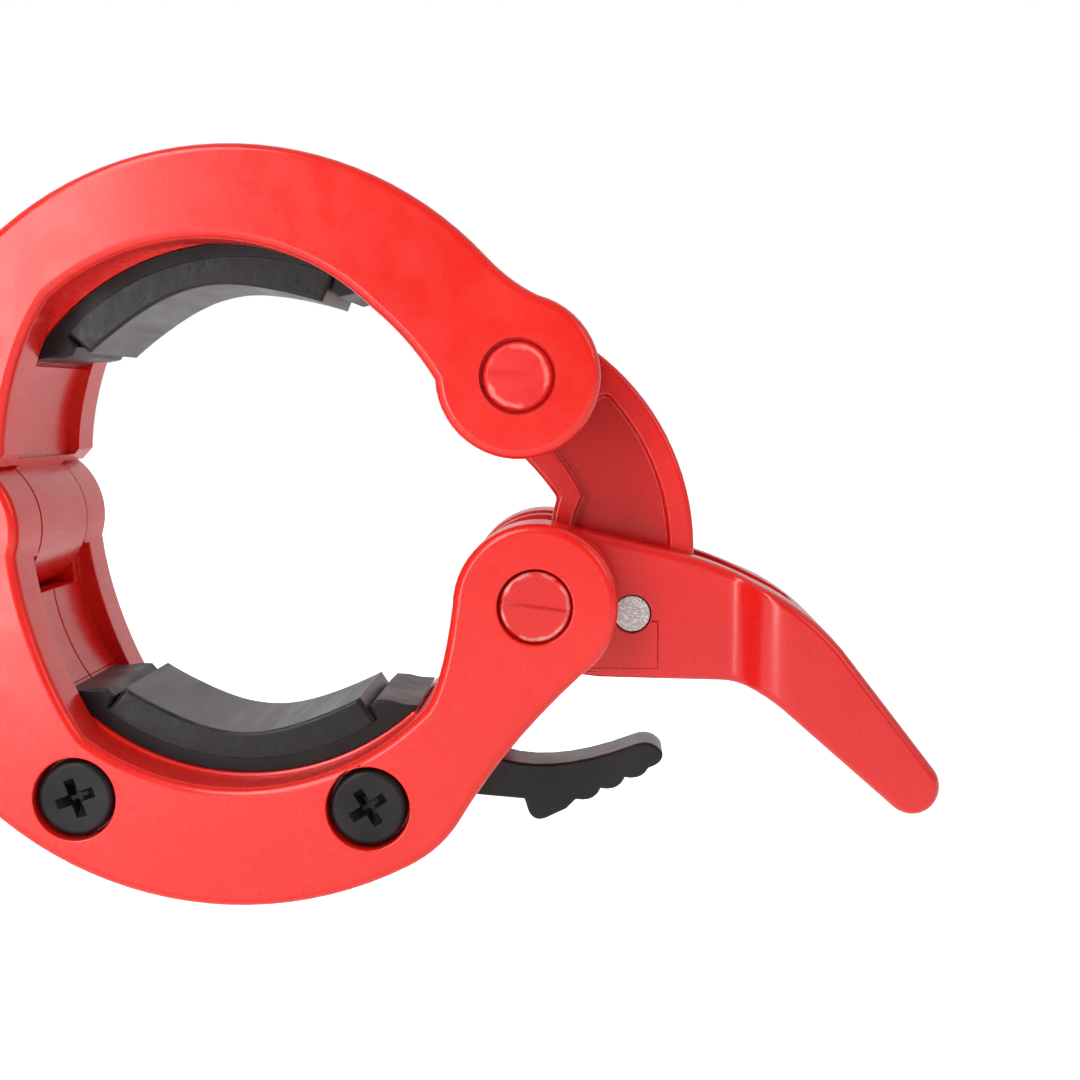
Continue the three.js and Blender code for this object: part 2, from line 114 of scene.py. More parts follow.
def turned(point: Point, centre: Point, degrees: float) -> Point:
    """Turns a front-view point clockwise about a centre.

    Args:
        point: the point to turn.
        centre: the centre of the turn.
        degrees: the angle.

    Returns:
        The turned point.
    """
    angle = math.radians(degrees)
    x, z = point[0] - centre[0], point[1] - centre[1]
    return (
        centre[0] + x * math.cos(angle) + z * math.sin(angle),
        centre[1] - x * math.sin(angle) + z * math.cos(angle),
    )


def bezier(knots: Sequence[Point], steps: int) -> list[Point]:
    """Gives points along a Bezier curve.

    Args:
        knots: its start, its control points and its end.
        steps: how many spans it has.

    Returns:
        The points, with both ends.
    """
    order = len(knots) - 1
    points = []
    for step in range(steps + 1):
        t = step / steps
        weights = [
            math.comb(order, k) * t**k * (1 - t) ** (order - k) for k in range(order + 1)
        ]
        points.append(tuple(sum(w * p[i] for w, p in zip(weights, knots)) for i in (0, 1)))
    return points


def interpolated(table: Sequence[Point], at: float) -> float:
    """Reads a table of rising positions and values.

    Args:
        table: the positions and their values.
        at: the position.

    Returns:
        The value there; the end values hold outside the table.
    """
    if at <= table[0][0]:
        return table[0][1]
    for (start, first), (end, last) in zip(table, table[1:]):
        if at <= end:
            return first + (last - first) * (at - start) / (end - start)
    return table[-1][1]


def put_down() -> None:
    """Leaves edit mode and deselects everything."""
    if bpy.context.object is not None and bpy.context.object.mode != "OBJECT":
        bpy.ops.object.mode_set(mode="OBJECT")
    bpy.ops.object.select_all(action="DESELECT")


def take_up(piece: Piece) -> None:
    """Selects one object alone and makes it active.

    Args:
        piece: the object.
    """
    put_down()
    piece.select_set(True)
    bpy.context.view_layer.objects.active = piece


def open_up(piece: Piece) -> bmesh.types.BMesh:
    """Opens an object in edit mode with nothing selected.

    Args:
        piece: the object.

    Returns:
        Its mesh, for choosing faces and edges.
    """
    take_up(piece)
    bpy.ops.object.mode_set(mode="EDIT")
    bpy.ops.mesh.select_all(action="DESELECT")
    return bmesh.from_edit_mesh(piece.data)


def choose(piece: Piece, kind: Element, wanted: EdgeTest | FaceTest) -> int:
    """Opens an object and selects the edges or faces that pass a test.

    Args:
        piece: the object.
        kind: whether edges or faces are picked.
        wanted: the test.

    Returns:
        How many were selected.
    """
    mesh = open_up(piece)
    bpy.ops.mesh.select_mode(type=kind.value)
    stock = mesh.edges if kind is Element.EDGE else mesh.faces
    chosen = [element for element in stock if wanted(element)]
    for element in chosen:
        element.select_set(True)
    bmesh.update_edit_mesh(piece.data)
    return len(chosen)


def at_depth(*depths: float) -> EdgeTest:
    """Makes the test for edges that lie wholly at one of some levels along the sleeve.

    Args:
        depths: the levels, in millimetres.

    Returns:
        The test.
    """

    def wanted(edge: bmesh.types.BMEdge) -> bool:
        return any(
            all(abs(corner.co.y / MM - depth) < TOUCH for corner in edge.verts)
            for depth in depths
        )

    return wanted


def reach(edge: bmesh.types.BMEdge) -> float:
    """Gives the distance in millimetres from the sleeve axis to an edge's middle."""
    middle = (edge.verts[0].co + edge.verts[1].co) / 2
    return math.hypot(middle.x, middle.z) / MM


def fillet(piece: Piece, width: float, segments: int, wanted: EdgeTest) -> Piece:
    """Rounds the chosen edges with the bevel tool.

    Args:
        piece: the object.
        width: the fillet's width in millimetres.
        segments: how many facets it has.
        wanted: the test for the edges.

    Returns:
        The object.
    """
    if choose(piece, Element.EDGE, wanted):
        bpy.ops.mesh.bevel(
            offset=width * MM,
            offset_type="OFFSET",
            segments=segments,
            profile=0.5,
            affect="EDGES",
            clamp_overlap=False,
            miter_outer="SHARP",
        )
    put_down()
    return piece


def work(base: Piece, how: Joinery, *tools: Piece) -> Piece:
    """Cuts, joins or trims a solid with other solids, which are used up.

    Args:
        base: the solid that is kept.
        how: what is done.
        tools: the solids that it is done with.

    Returns:
        The base.
    """
    for tool in tools:
        take_up(base)
        modifier = base.modifiers.new("joinery", "BOOLEAN")
        modifier.operation = how.value
        modifier.solver = "MANIFOLD"
        modifier.object = tool
        bpy.ops.object.modifier_apply(modifier=modifier.name)
        bpy.data.objects.remove(tool)
    return base


def clean(piece: Piece) -> Piece:
    """Merges doubles, dissolves slivers and turns every face outwards.

    Args:
        piece: the object.

    Returns:
        The object.
    """
    open_up(piece)
    bpy.ops.mesh.select_all(action="SELECT")
    bpy.ops.mesh.remove_doubles(threshold=SLIVER * MM)
    bpy.ops.mesh.dissolve_degenerate(threshold=SLIVER * MM)
    bpy.ops.mesh.dissolve_limited(angle_limit=math.radians(FLAT))
    bpy.ops.mesh.normals_make_consistent(inside=False)
    put_down()
    return piece


def soften(piece: Piece, width: float, segments: int = 2, angle: float = 35) -> Piece:
    """Breaks every remaining sharp edge with a small bevel.

    A bevel that would leave a spike beside the old surface is tried again narrower.

    Args:
        piece: the object.
        width: the bevel's width in millimetres.
        segments: how many facets it has.
        angle: the angle in degrees above which an edge is sharp.

    Returns:
        The object.
    """
    clean(piece)
    before = piece.data.copy()
    surface = BVHTree.FromPolygons(
        [corner.co for corner in before.vertices],
        [tuple(face.vertices) for face in before.polygons],
    )
    while width > FINEST:
        take_up(piece)
        modifier = piece.modifiers.new("broken edges", "BEVEL")
        modifier.width = width * MM
        modifier.segments = segments
        modifier.limit_method = "ANGLE"
        modifier.angle_limit = math.radians(angle)
        modifier.use_clamp_overlap = False
        bpy.ops.object.modifier_apply(modifier=modifier.name)
        stray = max(surface.find_nearest(v.co)[3] for v in piece.data.vertices)
        if stray < width * MM:
            break
        LOG.info("%s: bevel %.2f mm strays %.2f mm", piece.name, width, stray / MM)
        piece.data = before.copy()
        width *= NARROWER
    return piece


def shade(piece: Piece, angle: float = 32) -> Piece:
    """Shades a piece smooth across shallow edges and keeps its flat faces flat.

    Args:
        piece: the object.
        angle: the angle in degrees above which an edge stays sharp.

    Returns:
        The object.
    """
    take_up(piece)
    bpy.ops.object.shade_smooth_by_angle(angle=math.radians(angle))
    modifier = piece.modifiers.new("weights", "WEIGHTED_NORMAL")
    modifier.keep_sharp = True
    modifier.mode = "FACE_AREA"
    modifier.weight = 60
    bpy.ops.object.modifier_apply(modifier=modifier.name)
    return piece


def rod(
    name: str,
    centre: Point,
    radius: float,
    low: float,
    high: float,
    sides: int = 48,
) -> Piece:
    """Turns a round bar along the sleeve direction.

    Args:
        name: the object's name.
        centre: its axis in the front view.
        radius: its radius.
        low: the end nearer the front.
        high: the end nearer the rear.
        sides: how many facets it has round.

    Returns:
        The bar.
    """
    put_down()
    bpy.ops.mesh.primitive_cylinder_add(
        vertices=sides,
        radius=radius * MM,
        depth=(high - low) * MM,
        location=(centre[0] * MM, (low + high) / 2 * MM, centre[1] * MM),
        rotation=(math.pi / 2, 0, 0),
    )
    bar = bpy.context.object
    bar.name = name
    bpy.ops.object.transform_apply(location=True, rotation=True, scale=True)
    return bar


class Pen:
    """Draws a closed outline edge by edge and pulls it out to a solid."""

    def __init__(self, name: str, start: Point, depth: float):
        """Puts the pen down.

        Args:
            name: the name of the solid.
            start: the first point, in the front view.
            depth: the level along the sleeve that the outline is drawn at.
        """
        self.depth = depth
        self.start = self.at = start
        put_down()
        bpy.ops.mesh.primitive_plane_add(size=MM, location=metric(start, depth))
        self.piece = bpy.context.object
        self.piece.name = name
        bpy.ops.object.transform_apply(location=True)
        bpy.ops.object.mode_set(mode="EDIT")
        bpy.ops.mesh.select_mode(type="VERT")
        bpy.ops.mesh.select_all(action="SELECT")
        bpy.ops.mesh.merge(type="CENTER")

    def line(self, *points: Point) -> Pen:
        """Draws straight edges through the given points.

        Args:
            points: the points.

        Returns:
            The pen.
        """
        for point in points:
            step = metric(point, 0) - metric(self.at, 0)
            if step.length > TOUCH * MM:
                bpy.ops.mesh.extrude_region_move(TRANSFORM_OT_translate={"value": step})
                self.at = point
        return self

    def arc(self, centre: Point, degrees: float, steps: int) -> Pen:
        """Draws an arc from where the pen is, with the spin tool.

        Args:
            centre: the arc's centre.
            degrees: how far it turns, positive counterclockwise.
            steps: how many edges it has.

        Returns:
            The pen.
        """
        bpy.ops.mesh.spin(
            steps=steps,
            angle=math.radians(degrees),
            use_auto_merge=False,
            center=metric(centre, self.depth),
            axis=(0, 1, 0),
        )
        self.at = turned(self.at, centre, -degrees)
        return self

    def ring_arc(self, centre: Point, radius: float, start: float, end: float) -> Pen:
        """Draws a line to an arc's start and then the arc.

        Args:
            centre: the arc's centre.
            radius: its radius.
            start: the angle where it starts, in degrees.
            end: the angle where it ends.

        Returns:
            The pen.
        """
        first = polar(radius, start, centre)
        if math.dist(first, self.at) > SHORTEST:
            self.line(first)
        facet = 7.0 if radius < 12 else 3.2
        return self.arc(centre, end - start, max(3, round(abs(end - start) / facet)))

    def curve(self, *handles: Point, steps: int = 7) -> Pen:
        """Draws a Bezier curve from where the pen is.

        Args:
            handles: its control points and its end.
            steps: how many edges it has.

        Returns:
            The pen.
        """
        return self.line(*bezier([self.at, *handles], steps)[1:])

    def solid(self, high: float, steps: int = 1) -> Piece:
        """Closes the outline, fills it and pulls it out.

        Args:
            high: the level along the sleeve that it is pulled out to.
            steps: how many slices the wall has.

        Returns:
            The solid.
        """
        self.line(self.start)
        bpy.ops.mesh.select_all(action="SELECT")
        bpy.ops.mesh.remove_doubles(threshold=TOUCH * MM)
        bpy.ops.mesh.edge_face_add()
        pull = Vector((0, 1, 0)) * ((high - self.depth) * MM / steps)
        for _ in range(steps):
            bpy.ops.mesh.extrude_region_move(TRANSFORM_OT_translate={"value": pull})
        bpy.ops.mesh.select_all(action="SELECT")
        bpy.ops.mesh.normals_make_consistent(inside=False)
        put_down()
        return self.piece


# ---- shared places --------------------------------------------------------------------
HINGE: Point = (-34.6, -0.5)
LEVER_PIVOT: Point = (35.0, -9.0)
LINK_PIVOT: Point = (33.0, 17.5)
LINK_PIN: Point = (46.3, -10.8)
LATCH_PIVOT: Point = (15.5, -32.7)
LEFT_SCREW: Point = (-19.1, -31.9)
JAW_SWING = 5.5785
LEVER_SWING = 84.0
LINK_SWING = 19.664
HALF_WIDTH = 18.0
EAR_RADIUS = 9.5
TRUNNION_HOLE = 4.4
PIN_HOLE = 3.2  # of the jaws' hinge pin
JAW_EDGE = 0.22  # width of the jaws' broken edges
SEAT_RADIUS = 30.1
LAND_HALF = 11.0
LOWER_AZIMUTH = -92.0
UPPER_AZIMUTH = 96.5  # with the jaws closed


# ---- finishes -------------------------------------------------------------------------
class Recipe:
    """Adds and joins the nodes of one material."""

    def __init__(self, name: str):
        """Starts a material.

        Args:
            name: its name.
        """
        self.material = bpy.data.materials.new(name)
        self.material.use_nodes = True
        self.tree = self.material.node_tree
        self.shader = self.tree.nodes["Principled BSDF"]
        self.place = self.add("ShaderNodeTexCoord").outputs["Object"]

    def add(self, kind: str, **settings: object) -> bpy.types.Node:
        """Adds a node.

        Args:
            kind: the node's type.
            settings: its properties.

        Returns:
            The node.
        """
        node = self.tree.nodes.new(kind)
        for key, value in settings.items():
            setattr(node, key, value)
        return node

    def join(self, output: Socket, target: Socket) -> None:
        """Links an output to an input."""
        self.tree.links.new(output, target)

    def mapped(
        self,
        scale: Sequence[float] = (1, 1, 1),
        centre: Sequence[float] = (0, 0, 0),
        turn: float = 0,
    ) -> Socket:
        """Gives the object coordinates, moved, turned about Y and stretched.

        Args:
            scale: the stretch along each axis.
            centre: the point in metres that becomes the origin.
            turn: the turn about Y in degrees.

        Returns:
            The coordinates.
        """
        moved = self.add("ShaderNodeMapping", vector_type="TEXTURE")
        moved.inputs["Location"].default_value = centre
        moved.inputs["Rotation"].default_value = (0, math.radians(turn), 0)
        self.join(self.place, moved.inputs["Vector"])
        stretched = self.add("ShaderNodeMapping", vector_type="POINT")
        stretched.inputs["Scale"].default_value = scale
        self.join(moved.outputs["Vector"], stretched.inputs["Vector"])
        return stretched.outputs["Vector"]

    def noise(self, scale: float, detail: float = 3, where: Socket | None = None) -> Socket:
        """Gives a noise pattern.

        Args:
            scale: how fine it is, per metre.
            detail: how many octaves it has.
            where: the coordinates, or the object's own.

        Returns:
            Its value.
        """
        node = self.add("ShaderNodeTexNoise")
        node.inputs["Scale"].default_value = scale
        node.inputs["Detail"].default_value = detail
        self.join(where or self.place, node.inputs["Vector"])
        return node.outputs["Fac"]

    def ramp(self, value: Socket, stops: Sequence[tuple[float, Colour]]) -> Socket:
        """Turns a value into a colour.

        Args:
            value: the value.
            stops: positions and their colours.

        Returns:
            The colour.
        """
        node = self.add("ShaderNodeValToRGB")
        for index, (position, colour) in enumerate(stops):
            if index > 1:
                node.color_ramp.elements.new(position)
            element = node.color_ramp.elements[index]
            element.position = position
            element.color = (*colour, 1)
        self.join(value, node.inputs["Fac"])
        return node.outputs["Color"]

    def span(
        self,
        value: Socket,
        low: float,
        high: float,
        start: float = 0.0,
        end: float = 1.0,
    ) -> Socket:
        """Maps a value onto another span.

        Args:
            value: the value.
            low: what start becomes.
            high: what end becomes.
            start: the lower end of the value's own span.
            end: its upper end.

        Returns:
            The mapped value.
        """
        node = self.add("ShaderNodeMapRange")
        for key, number in {
            "From Min": start,
            "From Max": end,
            "To Min": low,
            "To Max": high,
        }.items():
            node.inputs[key].default_value = number
        self.join(value, node.inputs["Value"])
        return node.outputs["Result"]

    def blend(self, share: Socket, under: Socket, over: Colour) -> Socket:
        """Lays a colour over another.

        Args:
            share: how much of the upper colour shows.
            under: the lower colour.
            over: the upper colour.

        Returns:
            The mixed colour.
        """
        node = self.add("ShaderNodeMix", data_type="RGBA")
        self.join(share, node.inputs["Factor"])
        self.join(under, node.inputs["A"])
        node.inputs["B"].default_value = (*over, 1)
        return node.outputs["Result"]

    def off_middle(self) -> Socket:
        """Gives the distance in metres from the collar's middle plane."""
        split = self.add("ShaderNodeSeparateXYZ")
        self.join(self.place, split.inputs["Vector"])
        return self.reckon("ABSOLUTE", split.outputs["Y"], 0.0)

    def sideways(self, low: float, high: float) -> Socket:
        """Gives how squarely the surface faces away from the sleeve's direction.

        Args:
            low: the value on the front and rear faces.
            high: the value on the faces between them.

        Returns:
            The value.
        """
        split = self.add("ShaderNodeSeparateXYZ")
        self.join(self.place.node.outputs["Normal"], split.inputs["Vector"])
        return self.span(self.reckon("ABSOLUTE", split.outputs["Y"], 0.0), high, low)

    def bruise(self, centre: Point, radius: float, where: float) -> Socket:
        """Gives a ragged ring about an axis along the sleeve, as a share.

        Args:
            centre: the axis in the front view, in millimetres.
            radius: the outer radius of the round face.
            where: the ring's place as a share of that radius.

        Returns:
            The share, strongest on the ring.
        """
        local = self.mapped((1, 0, 1), (centre[0] * MM, 0, centre[1] * MM))
        length = self.add("ShaderNodeVectorMath", operation="LENGTH")
        self.join(local, length.inputs[0])
        ragged = self.span(self.noise(900, 2), -0.1, 0.1)
        radial = self.reckon("MULTIPLY", length.outputs["Value"], 1 / (radius * MM))
        radial = self.reckon("ADD", radial, ragged)
        rise = self.span(radial, 0.0, 1.0, where - 0.09, where - 0.02)
        fall = self.span(radial, 1.0, 0.0, where + 0.02, where + 0.09)
        patches = self.span(self.noise(380, 3), 0.0, 1.0, 0.4, 0.6)
        return self.reckon("MULTIPLY", self.reckon("MULTIPLY", rise, fall), patches)

    def reckon(self, operation: str, first: Socket, second: Socket | float) -> Socket:
        """Reckons with two values.

        Args:
            operation: the name of the sum.
            first: the first value.
            second: the second value.

        Returns:
            The result.
        """
        node = self.add("ShaderNodeMath", operation=operation)
        self.join(first, node.inputs[0])
        if isinstance(second, float):
            node.inputs[1].default_value = second
        else:
            self.join(second, node.inputs[1])
        return node.outputs[0]

    def relief(self, *layers: tuple[Socket, float]) -> None:
        """Stacks bumps on the shader.

        Args:
            layers: height patterns with their depths in millimetres.
        """
        normal = None
        for height, depth in layers:
            bump = self.add("ShaderNodeBump")
            bump.inputs["Strength"].default_value = 1.0
            bump.inputs["Distance"].default_value = depth * MM
            self.join(height, bump.inputs["Height"])
            if normal is not None:
                self.join(normal, bump.inputs["Normal"])
            normal = bump.outputs["Normal"]
        self.join(normal, self.shader.inputs["Normal"])

    def set(self, **values: float) -> None:
        """Sets constant inputs of the shader, named with underscores for spaces."""
        for key, value in values.items():
            self.shader.inputs[key.replace("_", " ")].default_value = value

    def drive(self, name: str, output: Socket) -> None:
        """Links an output to an input of the shader."""
        self.join(output, self.shader.inputs[name])


@dataclass(frozen=True)
class MouldedNylon:
    """Glossy moulded nylon with soft sink marks, flow streaks and a fine grain."""

    name: str
    deep: Colour
    plain: Colour
    pale: Colour
    roughness: Span = (0.22, 0.34)
    gloss: float = 0.5
    sink: float = 0.04  # depth of the soft waviness in millimetres
    grain: float = 0.003
    coat: float = 0.18
    sunk: Span | None = None  # levels off the middle inside which the red darkens into painted shade on a sunk web
    stake: Point | None = None  # centre of a pressed stub on the outer faces
    stub_radius: float = 4.1
    stub_face: Span = (16.4, 16.6)  # levels off the middle where its face starts

    def make(self) -> Material:
        """Builds the material.

        Returns:
            The material.
        """
        recipe = Recipe(self.name)
        broad = recipe.noise(55, 2)
        flow = recipe.noise(240, 4, recipe.mapped((1, 0.25, 1)))
        colour = recipe.ramp(
            broad, [(0.3, self.deep), (0.5, self.plain), (0.78, self.pale)]
        )
        flecks = recipe.span(flow, 0.0, 0.12, 0.45, 0.9)
        colour = recipe.blend(flecks, colour, self.pale)
        # Painted shade: faces near the middle plane, such as the link's sunk web, are
        # darkened towards the deep red.
        if self.sunk is not None:
            off = recipe.off_middle()
            depth = recipe.span(off, 1.0, 0.0, self.sunk[0] * MM, self.sunk[1] * MM)
            colour = recipe.blend(depth, colour, tuple(0.96 * c for c in self.deep))
        if self.stake is not None:
            off, face = recipe.off_middle(), self.stub_face
            outer = recipe.span(off, 0.0, 1.0, face[0] * MM, face[1] * MM)
            ring = recipe.bruise(self.stake, self.stub_radius, 0.95)
            share = recipe.reckon("MULTIPLY", ring, outer)
            colour = recipe.blend(share, colour, (0.85, 0.36, 0.32))
        recipe.drive("Base Color", colour)
        recipe.drive("Roughness", recipe.span(flow, *self.roughness, 0.3, 0.7))
        recipe.relief(
            (recipe.noise(48, 1.5), self.sink), (recipe.noise(2600, 3), self.grain)
        )
        recipe.set(Specular_IOR_Level=self.gloss, Coat_Weight=self.coat)
        recipe.set(Coat_Roughness=0.12)
        return recipe.material


@dataclass(frozen=True)
class StakedNylon:
    """Red nylon of a pin whose end was pressed over: a pale, ragged stress ring."""

    name: str
    plain: Colour
    bruise: Colour
    centre: Point
    radius: float
    tilt: float = 0.0  # degrees that the brushing runs at

    def make(self) -> Material:
        """Builds the material.

        Returns:
            The material.
        """
        recipe = Recipe(self.name)
        share = recipe.bruise(self.centre, self.radius, 0.82)
        streaks = recipe.noise(900, 3, recipe.mapped((0.2, 1, 1), turn=self.tilt))
        dull = tuple(channel * 0.94 for channel in self.plain)
        colour = recipe.ramp(streaks, [(0.35, dull), (0.62, self.plain)])
        recipe.drive("Base Color", recipe.blend(share, colour, self.bruise))
        recipe.drive("Roughness", recipe.span(streaks, 0.3, 0.5, 0.3, 0.7))
        recipe.relief((streaks, 0.008), (recipe.noise(2400, 2), 0.006))
        return recipe.material


@dataclass(frozen=True)
class GripRubber:
    """Dense moulded rubber with drag lines across the grip, a dusty bloom and a painted
    grey sheen on the faces between the front and the rear.
    """

    name: str
    dark: Colour
    bloom: Colour
    # grey painted as sheen on the faces between the front and the rear
    painted_sheen: Colour = (0.2, 0.19, 0.195)
    roughness: Span = (0.28, 0.46)

    def make(self) -> Material:
        """Builds the material.

        Returns:
            The material.
        """
        recipe = Recipe(self.name)
        drag = recipe.noise(520, 5, recipe.mapped((1, 0.12, 1)))
        dust = recipe.noise(130, 4)
        colour = recipe.ramp(drag, [(0.32, self.dark), (0.8, self.bloom)])
        haze = recipe.span(dust, 0.0, 0.3, 0.5, 0.85)
        colour = recipe.blend(haze, colour, self.bloom)
        # Painted sheen: the faces between the front and the rear are greyed, mottled by the
        # drag lines.
        pale_mottle = recipe.reckon("MULTIPLY", recipe.sideways(0.0, 0.75), drag)
        recipe.drive("Base Color", recipe.blend(pale_mottle, colour, self.painted_sheen))
        recipe.drive("Roughness", recipe.span(drag, *self.roughness, 0.3, 0.7))
        recipe.relief((drag, 0.05), (recipe.noise(3000, 3), 0.012))
        recipe.set(Specular_IOR_Level=0.36)
        return recipe.material


@dataclass(frozen=True)
class MattNylon:
    """Black moulded nylon with a spark-eroded grain, patches lightened by rubbing and a
    painted grey sheen.
    """

    name: str
    dark: Colour
    pale_mottle: Colour
    roughness: Span = (0.4, 0.55)
    grain: float = 0.012
    metallic: float = 0.0
    sheen_strength: float = 0.8  # how grey the painted sheen makes the faces between the front and the rear

    def make(self) -> Material:
        """Builds the material.

        Returns:
            The material.
        """
        recipe = Recipe(self.name)
        rub_and_sheen = recipe.noise(160, 4)
        colour = recipe.ramp(rub_and_sheen, [(0.38, self.dark), (0.8, self.pale_mottle)])
        # Painted sheen: the faces between the front and the rear are greyed, mottled like
        # the patches lightened by rubbing.
        painted_sheen = recipe.reckon("MULTIPLY", recipe.sideways(0.0, self.sheen_strength), rub_and_sheen)
        recipe.drive("Base Color", recipe.blend(painted_sheen, colour, (0.2, 0.19, 0.195)))
        recipe.set(Specular_IOR_Level=0.35)
        recipe.drive("Roughness", recipe.span(rub_and_sheen, *self.roughness, 0.7, 0.3))
        recipe.relief((recipe.noise(1900, 3), self.grain), (recipe.noise(90, 2), 0.03))
        recipe.set(Metallic=self.metallic)
        return recipe.material


@dataclass(frozen=True)
class CroppedSteel:
    """Bright steel with a fine, torn-looking granular grain all over."""

    name: str
    dark: Colour
    bright: Colour

    def make(self) -> Material:
        """Builds the material.

        Returns:
            The material.
        """
        recipe = Recipe(self.name)
        cells = recipe.add("ShaderNodeTexVoronoi", feature="F1")
        cells.inputs["Scale"].default_value = 4800
        recipe.join(recipe.place, cells.inputs["Vector"])
        grit = recipe.noise(2600, 5)
        mixed = recipe.reckon("MULTIPLY", cells.outputs["Distance"], grit)
        recipe.drive(
            "Base Color", recipe.ramp(mixed, [(0.08, self.dark), (0.42, self.bright)])
        )
        recipe.drive("Roughness", recipe.span(grit, 0.28, 0.55, 0.3, 0.7))
        recipe.relief((mixed, 0.06))
        recipe.set(Metallic=1.0)
        return recipe.material


RED = MouldedNylon(
    "red nylon", (0.77, 0.013, 0.007), (0.81, 0.015, 0.008), (0.85, 0.021, 0.013)
)
LEVER_RED = MouldedNylon(
    "lever nylon",
    (0.67, 0.01, 0.009),
    (0.72, 0.013, 0.011),
    (0.78, 0.022, 0.018),
    stake=LEVER_PIVOT,
)
LINK_RED = MouldedNylon(
    "link nylon",
    (0.74, 0.012, 0.01),
    (0.8, 0.014, 0.012),
    (0.86, 0.024, 0.02),
    roughness=(0.2, 0.3),
    # painted shade on the sunk web between the rims
    sunk=(2.1, 3.6),
)
PIN_RED = StakedNylon(
    "staked nylon", (0.8, 0.018, 0.014), (0.85, 0.2, 0.17), LINK_PIVOT, radius=4.1
)
RUBBER = GripRubber("grip rubber", (0.005, 0.004, 0.005), (0.014, 0.012, 0.013))
BASE_BLACK = MattNylon("pad base nylon", (0.004, 0.003, 0.004), (0.012, 0.01, 0.011))
LATCH_BLACK = MattNylon(
    "latch nylon", (0.006, 0.005, 0.006), (0.014, 0.012, 0.014), roughness=(0.24, 0.36)
)
SCREW_BLACK = MattNylon(
    "black oxide",
    (0.012, 0.01, 0.011),
    (0.035, 0.03, 0.032),
    roughness=(0.32, 0.46),
    grain=0.008,
    metallic=0.35,
    sheen_strength=0.0,
)
STEEL = CroppedSteel("cropped steel", (0.42, 0.41, 0.4), (0.9, 0.89, 0.88))


@dataclass(frozen=True)
class Fitting:
    """Where a finished piece belongs."""

    body: str
    slot: str
    node: str
    material: Material

    def fit(self, piece: Piece, angle: float = 32) -> Piece:
        """Shades, dresses and mounts a piece.

        Args:
            piece: the finished mesh.
            angle: the angle in degrees above which an edge stays sharp.

        Returns:
            The piece.
        """
        shade(piece, angle)
        piece.data.materials.clear()
        piece.data.materials.append(self.material)
        piece.name = f"{self.node}_finished"
        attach(piece, self.body)
        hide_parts(self.node)
        faces = len(piece.data.polygons)
        LOG.info("%s: %d faces, rides on %s", piece.name, faces, self.body)
        return piece


# ---- sub-assemblies -------------------------------------------------------------------

def slab(name: str, corners: Sequence[Point], low: float, high: float) -> Piece:
    """Pulls a straight-sided front-view outline out along the sleeve."""
    return Pen(name, corners[0], low).line(*corners[1:]).solid(high)


def ring_sector(
    name: str, inner: float, outer: float, start: float, end: float, levels: Span
) -> Piece:
    """Pulls out part of a ring about the sleeve axis.

    Args:
        name: the name of the solid.
        inner: the inner radius.
        outer: the outer radius.
        start: the angle where it starts, in degrees.
        end: the angle where it ends.
        levels: the two levels along the sleeve.

    Returns:
        The solid.
    """
    pen = Pen(name, polar(outer, start), levels[0])
    pen.ring_arc((0, 0), outer, start, end).ring_arc((0, 0), inner, end, start)
    return pen.solid(levels[1])


def seat(piece: Piece, azimuth: float, levels: Span) -> Piece:
    """Adds the land that a grip's strip lies on and clears the pocket above it.

    Args:
        piece: the jaw.
        azimuth: the middle of the seat in degrees.
        levels: the two levels along the sleeve.

    Returns:
        The jaw.
    """
    land, pocket = 44.0, 46.2  # degrees each side of the middle
    proud, depth, height = 0.6, 2.0, 6.9
    bed = (SEAT_RADIUS - proud, SEAT_RADIUS + depth, azimuth - land, azimuth + land)
    room = (SEAT_RADIUS - height, SEAT_RADIUS, azimuth - pocket, azimuth + pocket)
    work(piece, Joinery.ADD, ring_sector("land", *bed, levels))
    return work(piece, Joinery.CUT, ring_sector("strip pocket", *room, levels))


def bearing(name: str, centre: Point) -> list[Piece]:
    """Makes the cutters of a bearing hole: close inside, and eased at both faces.

    Args:
        name: the name of the solids.
        centre: the hole's centre.

    Returns:
        The cutters.
    """
    close_radius, easing = 4.13, 1.6
    full, eased = HALF_WIDTH + 1, HALF_WIDTH - easing
    return [
        rod(name, centre, close_radius, -full, full, 64),
        rod(name, centre, TRUNNION_HOLE, -full, -eased, 64),
        rod(name, centre, TRUNNION_HOLE, eased, full, 64),
    ]


